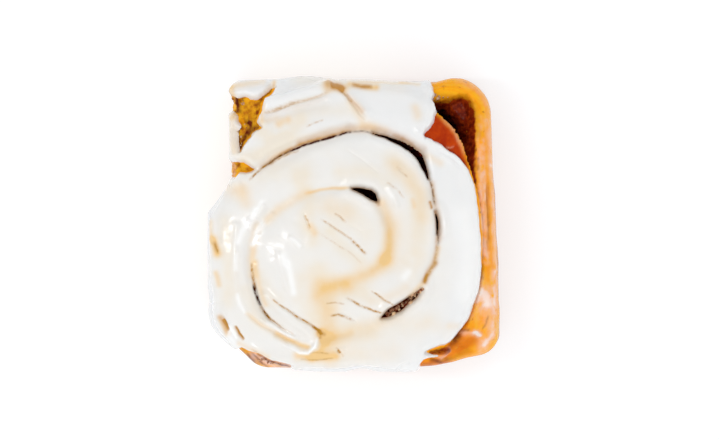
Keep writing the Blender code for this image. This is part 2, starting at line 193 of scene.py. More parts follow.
# Bare patches in the icing, traced in the photograph's pixels as x, y, x, y and so on
BARE = (
    (433, 55, 433, 78, 434, 84, 434.6, 88, 436.4, 94, 434.3, 98, 436.8, 103, 439, 110, 436, 116, 435.6, 121,
     432.7, 126.7, 427.3, 130.5, 425, 133.6, 426.5, 136, 433, 137.8, 445, 144.8, 452.2, 150.5, 459.4, 155.7,
     466.4, 163.6, 470.2, 169.4, 473.2, 177.2, 476.4, 185.8, 478, 195, 480, 210, 481.5, 225, 482.5, 240,
     483, 258, 482.8, 275, 480, 293, 476, 303, 472.4, 313, 469.5, 320.4, 463.8, 327.9, 458.6, 335.3,
     450.6, 343.4, 445, 346.3, 438, 348, 427, 352.5, 436, 356, 441, 357.5, 439, 359.5, 430, 360, 425, 361.5,
     421.5, 366, 417, 400, 540, 400, 540, 55),
    (225, 94.5, 240, 95.3, 246, 95.6, 249, 98, 257, 97.5, 260, 96.5, 266, 90, 271.5, 84, 274, 85.5, 270, 92,
     264, 98, 259.5, 107, 257, 114.3, 256.4, 121.3, 260, 126.9, 255, 129, 250, 135, 245.2, 141, 238.8, 151,
     236, 141.6, 233.9, 128.3, 238, 124, 235.4, 114.6, 225, 108.5),
    (224, 161.3, 243, 161.3, 250, 166.5, 254.3, 168.5, 245.2, 172, 238, 171, 232.5, 176.7, 224, 177),
    (291, 368, 288.6, 366.8, 271.7, 362.8, 264.4, 359, 256.5, 354.8, 247.4, 353, 240.8, 349.8, 230, 354,
     230, 400, 292, 400),
)
# Those of them that show torn crumb, how far in that starts, the rings that it fades over, and its relief
TORN_PATCHES = BARE[1:3]
TORN_FADE = (0.4, -0.8)
TORN_RINGS = (6, 1)
TORN_HEIGHT = 1.2
TORN_SINK = 1.0
# The pocket between the back right corner's crust and the turn inside it
POCKET = (
    430, 100, 436, 99, 443.5, 98, 450, 95.5, 456, 93, 464, 90.8, 469, 92, 473.4, 97, 477, 108, 476.8, 126,
    477.3, 149, 477.6, 172, 478.5, 190, 475.5, 186, 472.5, 175, 470.8, 168, 468.3, 159.5, 465.5, 151,
    463, 143, 458.5, 134, 453, 126.5, 445.5, 118.5, 438, 111.8, 430, 108,
)
# The pocket's deepest part, dark with syrup and painted nearly black as shade, in the form of the lines below
POCKET_DEPTH = (
    (1.1, 6.5, 436, 103, 443, 107, 450, 114, 456, 122, 461, 132),
    (0.5, 3.5, 462, 132, 468, 146, 473, 165),
)
# Their depths in mm, and the distances outside and inside their edges over which they fall
POCKET_DROP = 5.0
POCKET_WALL = (0.4, -3.0)
DEEPEST_DROP = 9.0
DEEPEST_WALL = (0.2, -0.6)
# The syrup in them, painted nearly black as shade in the deepest part, with the distances that it fades over,
# widened at the back
POCKET_SYRUP = 0.5
SYRUP_FADE = (0.3, -1.0)
SYRUP_SPREAD = (0.8, 2.2)
SYRUP_BACK = (37.0, 43.0)
# The bare dough inside the pocket, dark with syrup
SHOULDER = (
    420, 112, 434, 115.5, 437, 118, 442.5, 122.5, 449, 129, 454, 136, 458.5, 144.5, 461, 152, 464.5, 161,
    466, 170, 440, 160, 415, 140,
)
SHOULDER_FADE = (2.2, -0.4)
# Open slits between the turns: depth in mm, how far the deep part leans inwards, how dark its syrup and
# painted shade are, and pixels with the full width there, as x, y, width, x, y, width and so on
SLITS = (
    (10.0, 0.1, 1.0, 352, 188.2, 0.8, 357.5, 189.2, 3.4, 363.5, 190.8, 6.0, 369, 193.2, 8.0,
     373.5, 196.4, 7.0, 376.6, 199.6, 2.5),
    (9.0, 0.5, 1.0, 373, 132.3, 0.8, 380, 134.3, 1.6, 387, 136.5, 2.2, 399.5, 141.4, 3.8, 410, 147.3, 5.0,
     418.5, 153.6, 6.6, 422.5, 160.4, 5.2, 425, 167, 4.0, 427.6, 173, 2.8, 429, 178, 1.0),
    (7.0, 0.1, 1.0, 435.8, 211, 0.5, 437, 216, 1.6, 438, 222, 2.0, 438.4, 228, 1.6, 438.2, 234, 0.5),
    (2.6, 0.1, 0.7, 422, 289.5, 0.6, 416.8, 295.5, 3.0, 411, 299.3, 5.0, 404.5, 304, 6.4, 397.5, 309, 7.0,
     390.5, 313, 6.4, 385.5, 316, 4.0, 382, 318, 0.8),
    (1.2, 0.0, 0.32, 431.5, 352.6, 0.5, 437, 351.8, 2.2, 442, 351, 3.6, 445.5, 350.4, 3.6, 447.5, 350, 1.5),
)
SLIT_WALL = (0.35, -0.65)
# Distances from the slits' sides over which their syrup and painted shade fade in
SLIT_SYRUP_AND_SHADE = (1.2, 0.2)
# The slits end at the rim: this is added to the distance from them on the sides
SLIT_CLEARANCE = 20
# Polar angle and depth of the icing that runs down the side
SKIRT = (
    (60, 2.0), (75, 4.0), (90, 3.0), (104, 2.0), (140, 3.0), (150, 9.0), (160, 15.0), (172, 11.0),
    (183, 17.0), (196, 12.0), (208, 14.0), (220, 8.0), (236, 4.0), (250, 4.0), (262, 9.0), (276, 13.0),
    (288, 9.0), (298, 13.0), (306, 8.0),
)
SKIRT_FADE = (-1.0, 5.0)
SKIRT_THICKNESS = 2.2
SKIRT_LEAST = 0.35
SKIRT_SWELL = 0.1

# The torn sides: polar angles that they lie between, where the count starts, and how softly both ends fade
TORN_SIDES = (74.0, 244.0)
TORN_COUNT = 40
TORN_SOFTNESS = (8, 10)
CRUMB_SINK = 0.3
# The sides' noise is stretched upwards, and their relief fades over these shares of the height
SIDE_STRETCH = (1.0, 1.0, 0.5)
FOOT_FADE = (-0.03, 0.03)
TOP_FADE = (1.0, 0.94)
# The crust's lanes: their number down a side, and how slowly they change along the turn
LANES_DOWN_SIDE = 12.0
LANE_PACE = 0.25
LANES_START = (0.5, 2.0)
# Shares of the height over which the lines, the browning and the foot's shade fade
CRUST_LINES = (0.88, 0.95)
BROWNED = (0.98, 0.8)
FOOT_SHADE = (0.16, 0.0)
# How deep the dough's top sinks under the icing, and how far inside the edge
UNDER_ICING = 0.5
UNDER_ICING_START = (0.8, 2.0)

# Strokes reach this many half-widths. Those thinner than this taper towards their ends, this sharply
STROKE_REACH = 3
THIN_STROKE = 2.5
TAPER = 6

# Lines in the icing: height in mm, half-width in pixels, and the pixels that it runs through, as x, y, x, y
RELIEF = (
    (1.2, 6.0, 266, 296, 276, 306, 290, 318, 303, 328, 312, 337),
    (0.9, 2.2, 284, 344, 298, 352, 308, 352, 315, 346, 318.5, 336),
    (-1.0, 1.5, 278, 304, 290, 311, 299, 317.6, 312, 325, 322, 333),
    (-1.5, 1.2, 252, 270, 256, 290, 260, 304, 264, 311.8, 270, 319, 277.5, 325.2, 286.5, 331.3, 296, 336),
    (0.7, 2.6, 262, 318, 269, 323, 281, 330, 296, 338),
    (-0.8, 3.0, 276, 334, 287, 339.5, 300, 345, 308, 347),
    (-0.9, 1.5, 263, 113, 274.6, 110, 281.6, 107.3, 290.7, 104.5, 300, 101.6, 320, 96, 332, 91),
    (1.7, 5.0, 268, 103, 280, 100, 298, 95, 318, 89, 328, 85),
    (-0.6, 5.0, 268, 118, 285, 112, 302, 108, 325, 103),
    (0.8, 6.0, 345, 92, 356, 104, 366, 114),
    (-1.1, 1.8, 338, 88, 346, 95, 353, 104, 360, 113, 368, 121),
    (-1.2, 4.5, 258, 168, 275, 154, 292, 145.5, 308, 140.5, 330, 132.5, 350, 127.5),
    (-0.9, 4.0, 350, 127.5, 372, 129, 392, 134, 410, 142, 424, 152),
    (-0.9, 1.4, 249, 181, 256, 173, 264, 166, 274.6, 158.5, 283, 154, 292, 149.5, 300, 146),
    (-0.3, 0.9, 304, 213, 307, 222, 310, 230),
    (-0.3, 0.9, 320, 218, 335, 228, 350, 238, 367, 254),
    (-0.25, 0.9, 335, 213, 340, 217, 345, 222),
    (-0.25, 0.9, 350, 225, 357, 229, 363, 232),
    (-0.35, 1.1, 345, 297, 365, 307, 383, 313),
    (-0.3, 1.0, 372, 290, 382, 298, 392, 304),
    (-0.25, 1.0, 328, 314, 345, 313, 358, 322),
    (-0.25, 0.9, 336, 347, 340, 351, 343, 356),
    (-0.25, 1.3, 346, 149, 362, 160, 380, 174),
    (-0.25, 1.1, 398, 168, 402, 172, 406, 176),
    (-0.5, 2.0, 245, 311, 262, 325, 285, 338, 300, 347),
    (-0.5, 2.5, 305, 350, 325, 352, 345, 348),
    (0.6, 3.0, 252, 228, 258, 216, 264, 207),
    (0.5, 2.6, 260, 230, 267, 220, 272, 214),
    (-0.6, 2.2, 248, 216, 255, 220, 264, 224),
    (0.5, 2.0, 288, 236, 295, 240, 303, 247),
    (0.5, 3.0, 279, 255, 283, 270, 288, 290),
    (0.6, 3.0, 388, 188, 394, 198, 396, 205),
    (0.5, 3.0, 237, 225, 235, 250, 236, 275, 240, 300, 246, 312),
    (-0.5, 2.0, 438, 150, 452, 158, 462, 168),
    (-0.7, 1.6, 221.4, 315, 225, 323, 228.6, 331),
    (0.7, 2.0, 229, 324, 233, 331, 238, 339),
    (-0.7, 1.3, 234.7, 325.5, 239, 334, 244.4, 340),
    (-0.6, 2.0, 396, 372, 402, 366, 410, 362),
)
# Tan places: strength, half-width in pixels, and the pixels
TAN = (
    (0.45, 6.5, 381, 204, 386, 215, 390, 230, 390, 248, 386, 259),
    (0.36, 7.5, 386, 259, 377, 269, 362, 276, 345, 282, 328, 287),
    (0.22, 5.5, 387, 222, 389, 238, 388, 252, 381, 264, 372, 270),
    (0.25, 4.5, 388, 234, 388, 246, 385, 256),
    (0.2, 11.0, 394, 220, 396, 240, 390, 262),
    (0.55, 9.0, 320, 285, 344, 286),
    (0.5, 9.0, 318, 298, 328, 312, 330, 332),
    (0.24, 8.0, 352, 280, 372, 272, 384, 262),
    (0.2, 6.0, 372, 302, 390, 296, 405, 288),
    (0.3, 4.0, 262, 122, 276, 118),
    (0.6, 2.5, 266, 92, 272, 86, 274, 82),
    (0.5, 1.6, 356, 80.5, 372, 81, 392, 82, 412, 82.5),
    (0.3, 8.0, 330, 290, 332, 308),
    (0.8, 1.6, 352, 188, 335, 188.5, 320, 189.5, 304, 194),
    (0.4, 5.0, 308, 193, 295, 200, 280, 208, 268, 220),
    (0.5, 4.0, 258, 226, 254, 240, 252, 258, 254, 275),
    (0.4, 3.0, 256, 262, 259, 285, 266, 304),
    (0.25, 9.0, 332, 341, 350, 335, 370, 328, 388, 318),
    (0.8, 5.0, 322, 334, 324, 344, 320, 352, 312, 357),
    (0.35, 9.0, 324, 330, 330, 345, 330, 360),
    (0.3, 4.0, 324, 337, 336, 336, 350, 332),
    (1.0, 3.6, 320, 332, 325, 337),
    (0.8, 4.5, 298, 355, 314, 357, 336, 356),
    (0.12, 9.0, 345, 352, 370, 355, 392, 351),
    (0.1, 9.0, 405, 324, 425, 322, 444, 330),
    (0.2, 4.0, 450, 326, 456, 326),
    (0.6, 4.5, 279, 124, 283, 121, 288, 120),
    (0.35, 5.0, 350, 102, 358, 112, 364, 124, 374, 127),
    (0.35, 5.0, 415, 108, 417, 116),
    (0.3, 2.0, 260, 167, 275, 155, 292, 147, 308, 142, 330, 134.5),
    (0.3, 4.5, 300, 141, 330, 132, 360, 127, 385, 131),
    (0.3, 9.0, 396, 166, 408, 178, 418, 192, 422, 215),
    (0.4, 2.4, 412, 200, 414, 207),
    (0.3, 4.0, 427, 156, 434, 160, 440, 163),
    (0.25, 10.0, 330, 205, 346, 211),
    (0.5, 4.0, 311, 226, 315, 233),
    (1.2, 4.5, 213, 240, 215.5, 246, 217.5, 253),
    (0.5, 3.0, 210, 222, 211, 232, 213, 240),
    (0.6, 3.0, 216, 273, 218, 280, 219, 285),
    (0.35, 8.0, 226, 188, 240, 192),
    (0.3, 7.0, 243, 190, 247, 203),
    (0.2, 1.5, 263, 113, 275, 110, 285, 106, 300, 101, 320, 96, 332, 91),
    (0.4, 2.4, 245, 311, 262, 325, 276, 333),
    (0.8, 3.0, 277, 334, 287, 339.5, 300, 345, 308, 347),
    (0.5, 3.0, 438, 248, 433, 264, 424, 282, 410, 296),
    (0.45, 4.0, 232, 86, 248, 83, 262, 81),
    (0.7, 4.0, 230, 88, 231, 100, 232, 116),
    (0.4, 4.0, 232, 120, 232, 134, 235, 152),
    (0.4, 2.2, 266, 104, 262, 114, 262, 124),
    (0.7, 2.6, 219, 318, 223, 326, 227, 334),
    (0.35, 3.0, 240, 343, 252, 349, 268, 356),
    (0.9, 3.4, 350, 84, 362, 86, 376, 87),
    (0.5, 2.0, 398, 81, 408, 81.5, 422, 84),
    (0.9, 4.5, 327, 87, 336, 86, 344, 89),
)
# Brown stains, thin and strong, in the same form
STAIN = (
    (0.9, 0.9, 270, 296, 281, 305.5, 290, 311, 299, 317.6, 312, 325, 322, 333),
    (0.9, 1.3, 312, 325, 318, 330, 323, 334),
    (0.7, 0.8, 320, 218, 335, 228, 350, 238, 368, 255),
    (0.8, 0.8, 335, 213, 340, 217, 346, 223),
    (0.6, 1.2, 351, 241, 359, 247, 367, 254.5),
    (0.3, 0.7, 318, 232, 335, 243, 352, 254, 362, 264),
    (0.9, 1.1, 346, 297.5, 362, 305.5, 374, 310.5, 385, 314),
    (0.8, 0.9, 371, 290, 382, 298, 394, 305),
    (0.8, 1.2, 330, 315.5, 338, 314.2, 346, 316.5, 354, 321),
    (0.5, 0.8, 326, 303, 336, 302, 345, 304),
    (0.9, 1.0, 305, 215, 308, 221, 310.5, 229),
    (0.6, 1.3, 264, 112.5, 274.6, 109.5, 284, 106.3, 300, 101),
    (0.35, 0.8, 296, 102.4, 312, 98, 330, 91),
    (0.7, 1.1, 340, 90, 346, 95, 353, 103),
    (1.0, 1.3, 260, 305, 264, 311.8, 270, 319, 277.5, 325.2, 286.5, 331.3, 296, 336),
    (0.9, 1.2, 251.5, 262, 252.5, 272, 254, 283, 256, 290),
    (1.0, 1.1, 249, 181, 256, 173, 264, 166, 274.6, 158.5, 283, 154, 292, 149.5),
    (0.6, 1.4, 430, 178, 432.4, 190, 434.6, 208),
    (0.6, 1.0, 268, 165, 280, 158.6, 290, 153.6, 300, 150.4),
    (0.4, 1.6, 437, 236, 436.4, 250, 433.5, 264),
    (0.7, 2.0, 436.5, 261, 431, 269, 425.5, 278, 424, 284),
    (0.4, 0.8, 386, 182, 398, 190, 404, 199),
    (0.4, 0.8, 396, 166, 402, 171, 408, 178),
    (0.5, 0.9, 306, 127, 314, 123, 324, 120),
    (0.6, 0.7, 298, 353, 314, 352, 330, 354),
    (0.6, 0.7, 300, 359, 316, 360, 334, 358),
    (0.5, 0.7, 336, 347, 340, 351, 344, 357),
    (0.5, 1.0, 252, 348, 258, 352, 264, 356),
    (1.0, 1.1, 224, 320, 226.6, 325, 229, 331),
    (1.0, 1.5, 318, 329, 321, 334, 320, 339),
    (0.9, 1.2, 337, 350, 339, 351, 341, 353),
    (1.0, 0.9, 235, 325.5, 239.4, 333, 244.4, 340),
    (0.9, 1.0, 215, 243, 217, 248, 218.4, 254),
)
# Soft golden-brown places, in the same form, and painted shade under the top fold and along the outer gap
BROWN_AND_SHADE = (
    (0.7, 1.8, 319, 331.5, 324, 334),
    (0.6, 4.0, 329, 86.5, 334, 86, 339, 87),
    (1.3, 2.4, 330, 87, 336, 85.6, 341, 87.6, 344, 91),
    (0.4, 2.6, 341, 90, 347, 96, 354, 104, 362, 111),
    (1.2, 1.4, 222.5, 319, 225.5, 324, 228.6, 331),
    (0.5, 3.2, 220, 317, 224, 325, 227, 332),
    (1.2, 1.3, 234.7, 325.5, 239, 334, 244.4, 340),
    (1.0, 1.4, 429.5, 202, 431, 208),
    (0.6, 2.0, 215, 243, 217, 250),
    (1.0, 2.2, 351, 84, 361, 86.5, 373, 86),
    # Painted shadow under the fold at the top
    (0.12, 3.5, 266, 115, 285, 110, 302, 105, 326, 97),
    # Painted shade beside the outer gap's open slit
    (0.45, 2.2, 392, 134, 402, 138.5, 411, 144, 420, 151, 427, 160),
    (0.6, 1.8, 270, 160, 288, 149.5, 300, 144.4, 318, 138.9, 340, 133, 352, 129.8),
    # These two are painted shade along the outer gap's outer side
    (0.25, 3.5, 262, 166, 276, 157.4, 292, 150),
    (0.3, 4.0, 300, 143, 325, 134.5, 350, 128.5, 380, 129.5, 405, 138, 424, 150),
    (0.7, 1.6, 427.5, 272, 425.4, 278, 424, 283),
    (0.55, 3.2, 434.5, 263, 429, 271, 425, 281),
    (0.35, 3.0, 432, 184, 434, 198, 437, 212, 439, 226, 439, 240),
    (0.3, 2.8, 437, 238, 436.5, 249, 435, 260),
    (0.25, 2.6, 354, 190, 364, 194, 374, 202),
    (0.55, 2.0, 376, 198, 378, 202.5, 379, 207),
)
# Syrup and painted shade in the icing's deepest creases, nearly black
DARK = (
    (1.0, 1.0, 253.5, 284, 255.5, 292, 258.5, 301, 261, 306),
    (0.3, 0.8, 261, 306, 264, 311.8, 268, 316.6),
    (0.6, 0.9, 264, 166, 275, 158.4, 284, 153.8, 292, 149.5, 300, 146),
    (1.0, 1.2, 288, 151.2, 304, 145.3, 318, 140.8, 335, 136),
    (0.9, 1.1, 322, 139.6, 336, 135.8, 346, 132.8, 352, 131.5),
    (0.5, 0.8, 344, 133, 352, 131.4, 362, 131, 374, 134),
    (0.5, 0.8, 429.4, 180, 431.6, 187, 433, 197, 434.4, 206),
    (0.5, 0.9, 437.6, 230, 438, 238, 438, 246),
)
# Warm places where the icing is thin over the dough, broad and soft
CREAM = (
    (0.7, 10.0, 392, 160, 408, 175, 418, 195, 420, 220, 416, 250),
    (0.5, 12.0, 330, 208, 350, 215, 366, 232),
    (0.6, 9.0, 330, 232, 345, 250, 360, 262),
    (0.8, 12.0, 318, 272, 335, 290, 360, 292),
    (0.7, 12.0, 322, 318, 340, 330, 365, 332),
    (0.25, 10.0, 375, 335, 400, 330, 430, 320),
    (0.4, 10.0, 262, 175, 285, 168, 305, 170),
    (0.5, 9.0, 300, 112, 330, 110, 352, 112),
    (0.5, 8.0, 340, 172, 370, 172, 388, 182),
    (0.6, 8.0, 225, 222, 226, 240, 228, 256, 230, 280, 229, 300),
    (0.5, 7.0, 246, 290, 256, 316, 276, 330),
    (0.5, 8.0, 258, 275, 266, 292, 276, 300),
    (0.4, 8.0, 300, 355, 330, 360, 360, 356),
    (0.4, 8.0, 405, 262, 412, 275, 418, 262),
    (0.9, 9.0, 260, 130, 276, 142, 290, 134, 300, 122),
    (0.9, 8.0, 244, 158, 258, 154, 272, 148, 286, 142),
    (0.7, 9.0, 300, 180, 312, 200, 306, 222, 312, 240),
    (0.4, 9.0, 300, 280, 300, 300, 312, 318),
    (0.5, 9.0, 300, 78, 340, 80, 380, 80, 400, 84),
    (0.4, 6.0, 380, 320, 400, 312, 418, 296),
)
# Painted highlights: white painted on the icing's rims and wet places, where its gloss catches the light
ICING_HIGHLIGHTS = (
    (0.9, 4.2, 283, 256, 286, 262),
    (0.9, 3.4, 288, 264, 291, 276, 294, 292),
    (0.8, 2.4, 290, 237, 297, 242, 302, 247),
    (0.9, 3.0, 256, 210, 250, 222, 242, 232, 239, 242),
    (0.9, 3.0, 262, 224, 257, 232, 253, 244),
    (0.7, 2.2, 262, 202, 256, 213),
    (0.7, 2.2, 237, 252, 236, 262, 236.5, 272),
    (0.7, 2.2, 237, 292, 240, 304, 246, 314),
    (0.7, 4.0, 404, 277, 408, 272),
    (0.7, 2.4, 388, 190, 392, 196),
    (0.6, 2.0, 238, 346, 228, 336, 231, 327),
    (0.45, 9.0, 462, 215, 468, 250, 464, 295),
    (1.0, 2.2, 266, 321, 281, 329.5, 297, 338),
    (1.0, 2.0, 286, 343, 300, 352, 308, 352, 315, 346, 318, 336),
    (0.8, 1.6, 229.5, 324, 233.5, 331, 238, 339),
    (0.8, 1.6, 262, 103, 259, 113, 256, 122, 250, 129),
)
# Lines on the crust, in the same form as those in the icing
CRUST_RELIEF = (
    (-0.7, 1.2, 487, 181, 488, 200, 489, 230, 488, 256),
    (-0.4, 1.0, 477, 130, 478, 150, 480, 190, 483, 225),
    (0.6, 4.0, 488, 296, 489, 304),
    (0.7, 2.4, 466, 331, 474, 331.5, 482, 338),
    (-0.8, 1.8, 471, 320, 464, 328, 457, 338),
    (-0.5, 1.4, 456, 350, 470, 345, 482, 338),
    (0.6, 1.6, 432, 356, 441, 358, 449.5, 351, 449, 346),
    (0.5, 1.6, 436.5, 114, 444, 120, 451.7, 127.5, 457, 135, 461.8, 143.5, 467, 159.5, 471, 175),
)
# Glaze on the crust, whitish and pink, with painted highlights and sheen where its gloss catches the light
GLAZE_AND_HIGHLIGHTS = (
    (1.4, 7.5, 484.5, 293, 486, 299, 487, 303),
    (0.4, 8.0, 482, 309, 486, 320, 490, 332),
    (0.4, 4.0, 460, 79, 474, 84.5, 484, 94, 490, 106, 492, 130, 494, 165),
    (0.45, 1.6, 440, 117.5, 448, 123.5, 455, 132, 460.5, 143, 465, 155),
    (1.6, 2.4, 472, 331, 477, 332.5, 482, 338),
    (0.8, 4.4, 484, 341, 482, 350),
    (0.5, 2.2, 481, 117, 482, 128),
    (0.9, 2.6, 483, 140, 484, 170, 485, 200, 486, 226, 487, 262),
    (0.8, 1.6, 479, 130, 480, 160, 481, 190, 483, 225, 484.5, 262),
    (0.8, 2.6, 492, 165, 494, 200, 495.5, 230, 497, 270),
    (0.8, 2.4, 483, 270, 481, 288, 477, 302, 471, 315, 466, 323),
    (0.6, 3.0, 464, 333, 470, 333, 476, 335),
    (1.0, 3.6, 496, 272, 495, 290, 496, 315, 493, 335, 486, 346),
    (0.4, 2.6, 487, 120, 490, 140, 492, 165),
    (0.8, 1.2, 432, 355, 441, 357.5, 449.5, 351, 449, 346),
    (0.5, 1.0, 446, 147, 451, 147.5, 455, 146),
    (0.8, 2.4, 232, 112, 233, 130, 235, 150),
    (0.7, 2.0, 230, 163, 230, 175),
    (1.3, 5.5, 254, 355, 262, 359, 274, 364, 290, 367),
)
# Deep orange places on the crust
ORANGE = (
    (1.2, 8.0, 424, 366, 445, 358, 460, 349, 472, 342),
    (0.5, 6.0, 485, 135, 486, 180, 489, 230, 490, 270),
    (0.5, 5.0, 484, 318, 486, 330),
    (1.0, 3.4, 446, 352, 455, 345, 462, 337, 468, 327),
)
# Dark syrup and burnt places on the dough
BURNT = (
    (0.7, 1.2, 471, 319, 464, 328, 461, 332),
    (0.5, 2.2, 464, 329, 459, 336, 453, 341.5),
    (0.4, 3.0, 447, 350, 454, 344, 460, 337),
    (1.1, 3.2, 234, 97, 235.4, 103, 237.4, 110),
    (0.7, 2.0, 246, 119, 249, 121, 252, 120),
    (0.55, 5.0, 250, 126, 244, 137, 240, 147),
    (0.6, 1.6, 242, 119, 247, 122, 252, 121),
    (0.6, 1.6, 237, 135, 238, 142, 240, 149),
    (0.6, 1.4, 254, 130, 258, 127.5),
    (0.45, 1.0, 489.6, 314.7, 485.6, 324.4, 483.3, 330.2),
    (0.5, 1.0, 478, 156, 478, 163, 478.4, 171),
    (0.45, 1.1, 488, 181, 489, 210, 489, 252),
    (0.45, 1.6, 482, 264, 482.4, 272, 482.6, 281),
    (0.3, 5.0, 424, 367, 434, 364, 446, 360),
    (0.2, 3.5, 423, 367, 430, 366),
    (0.25, 4.0, 446, 361, 456, 357, 468, 352),
    (0.25, 6.0, 456, 347, 468, 343, 474, 340),
    (0.6, 1.2, 250, 351, 257, 358, 262, 365, 270, 367),
    (0.6, 1.1, 262, 358, 272, 361.5, 284, 366, 292, 367.5),
    (0.4, 2.0, 247, 127, 244, 138, 240, 147),
    (0.3, 4.0, 234, 165, 242, 168, 249, 170),
    (0.22, 8.0, 246, 104, 250, 112, 247, 124),
    (0.35, 3.5, 256, 126, 250, 132),
    (0.5, 1.5, 466, 330.5, 468, 330),
    (0.5, 2.6, 432, 360, 440, 362),
    (0.5, 1.0, 258, 354, 266, 359),
    (0.4, 4.0, 242, 351, 250, 357, 257, 364),
    (0.25, 4.0, 260, 356, 275, 362, 288, 366),
    (0.45, 1.4, 246, 352, 250, 358, 255, 365),
    (0.4, 4.5, 435, 98, 443, 97.5, 451, 98),
    (0.7, 0.9, 443, 145.4, 451.5, 151, 460, 158.6, 466, 165.6),
    (0.3, 4.0, 474, 104, 477, 118, 478, 134),
)
# Crumbs of cinnamon and dough: how many, size in mm, half-width in pixels, and the pixels that they lie along
CRUMBS = (
    (80, 0.8, 3.4, 426, 285, 421, 291, 411, 299.3, 399, 308, 387, 315.5),
    (34, 0.5, 2.6, 438, 260, 433, 270, 429, 279, 426, 289),
    (60, 0.5, 4.5, 434, 98, 440, 100, 448, 101),
    (12, 0.35, 4.0, 238, 102, 246, 105, 246, 118, 242, 132, 240, 145),
    (10, 0.5, 2.0, 256, 358, 270, 363, 284, 366),
)
CRUMB_SEED = 7
# Shares of that size: widths, depths, heights, lumps and how far up they lie. The spread of their shades
CRUMB_WIDTHS = (0.5, 1.3)
CRUMB_DEPTHS = (0.5, 1.0)
CRUMB_HEIGHTS = (0.4, 0.8)
CRUMB_LUMP = 0.35
CRUMB_LUMP_SIZE = 0.6
CRUMB_NOISE_STEP = 10
CRUMB_RISE = 0.4
CRUMB_SHADES = 0.5

# Colours of the icing and of what shows through it, with painted shade and painted highlights
ICING_WHITE = (0.862, 0.866, 0.866)
ICING_CREAM = (0.86, 0.79, 0.68)
MAPLE_TAN = (0.87, 0.59, 0.26)
MAPLE_BROWN_AND_SHADE = (0.55, 0.26, 0.05)
STAIN_BROWN = (0.5, 0.25, 0.04)
SLIT_EDGE = (0.6, 0.4, 0.25)
CREASE_SYRUP_AND_SHADE = (0.06, 0.012, 0.004)
# White of the painted highlights
HIGHLIGHT_WHITE = (0.99, 0.99, 0.98)
# Colours of the crust, the torn crumb and the syrup, with painted highlights in the glaze and painted shade
# in the deepest syrup
CRUST_GOLD = (1.0, 0.5, 0.012)
CRUST_AMBER = (1.0, 0.35, 0.006)
CRUST_GRAIN = (0.95, 0.27, 0.005)
CRUST_PORE = (0.5, 0.15, 0.006)
CRUST_ORANGE = (0.98, 0.27, 0.01)
CRUST_BURNT = (0.16, 0.02, 0.004)
SKIN_GOLD = (0.8, 0.36, 0.065)
SKIN_BROWN = (0.5, 0.15, 0.02)
SKIN_MOTTLE = (0.55, 0.19, 0.03)
SKIN_WRINKLE = (0.36, 0.09, 0.012)
CRUMB_PALE = (0.95, 0.72, 0.4)
CRUMB_GOLD = (0.8, 0.46, 0.15)
CRUMB_STRAND = (0.68, 0.33, 0.09)
TORN_BROWN = (0.62, 0.19, 0.006)
TORN_DARK = (0.3, 0.06, 0.003)
SHOULDER_RED = (0.55, 0.054, 0.0)
SHOULDER_DARK = (0.4, 0.026, 0.0)
PINK_GLAZE_AND_SHEEN = (0.97, 0.55, 0.36)
WHITE_GLAZE_AND_HIGHLIGHT = (0.98, 0.86, 0.8)
FOOT_BROWN = (0.4, 0.12, 0.015)
SPIRAL_DARK = (0.1, 0.02, 0.005)
THIN_SYRUP = ((0.15, 0.01, 0.002), (0.33, 0.036, 0.003))
# Syrup painted nearly black as shade deep in the slits and the pocket
DEEP_SYRUP_AND_SHADE = ((0.003, 0.001, 0.002), (0.04, 0.004, 0.002))
LOOSE_PALE = (0.95, 0.68, 0.4)
LOOSE_DARK = (0.25, 0.05, 0.01)
FILLING_BLACK = (0.005, 0.001, 0.001)
FILLING_BROWN = (0.025, 0.004, 0.002)
FILLING_GRAIN = (0.09, 0.02, 0.006)
FLOOR_GREY = (0.5, 0.52, 0.55)
PURE_WHITE = (1.0, 1.0, 1.0)

# Noise in the colours: bumps in a metre, and detail
ICING_MOTTLE = (160.0, 4.0)
BROWN_MOTTLE = (420.0, 4.0)
CRUST_PATCH = (90.0, 3.0)
CRUMB_GRAIN = (450.0, 5.0)
SYRUP_MOTTLE = (420.0, 6.0)
LOOSE_MOTTLE = (2000.0, 3.0)
# Blots in the colours: the same, then the noise values that count as 0 and as 1
DASH_BLOTS = (800.0, 3.0, 0.32, 0.62)
GRAIN_BLOTS = (520.0, 5.0, 0.45, 0.75)
PORE_BLOTS = (420.0, 2.0, 0.66, 0.8)
SKIN_BLOTS = (42.0, 6.0, 0.36, 0.66)
SKIN_SPECKS = (260.0, 6.0, 0.4, 0.65)
ORANGE_BLOTS = (300.0, 5.0, 0.2, 0.6)
SIDE_BLOTS = (60.0, 4.0, 0.3, 0.45)
TORN_BLOTS = (260.0, 6.0, 0.54, 0.7)
SHOULDER_BLOTS = (300.0, 4.0, 0.35, 0.65)
GLAZE_AND_HIGHLIGHT_BLOTS = (380.0, 5.0, 0.25, 0.6)
SYRUP_SPECKS = (700.0, 4.0, 0.42, 0.66)
FILLING_SPECKS = (1100.0, 4.0, 0.45, 0.7)
FILLING_FLOW = (220.0, 3.0, 0.3, 0.7)
# Upright streaks on the sides: their pace along the turn and upwards, and the noise values as above
WRINKLE_STREAKS = (0.3, 120.0, 0.55, 0.75)
STRAND_STREAKS = (0.7, 190.0, 0.5, 0.72)
# Fine relief: bumps in a metre, detail, strength, and height in metres
ICING_FINE = (700.0, 3.0, 0.1, 0.0003)
DOUGH_FINE = (900.0, 4.0, 0.3, 0.0004)
LOOSE_FINE = (3000.0, 3.0, 0.3, 0.0002)
FILLING_FINE = (1100.0, 4.0, 0.4, 0.0004)
ICING_SHINE = {
    "Coat Roughness": 0.05, "Roughness": 0.14,
    "Subsurface Weight": 0.25, "Subsurface Radius": (1.0, 0.8, 0.6), "Subsurface Scale": 0.0015,
}

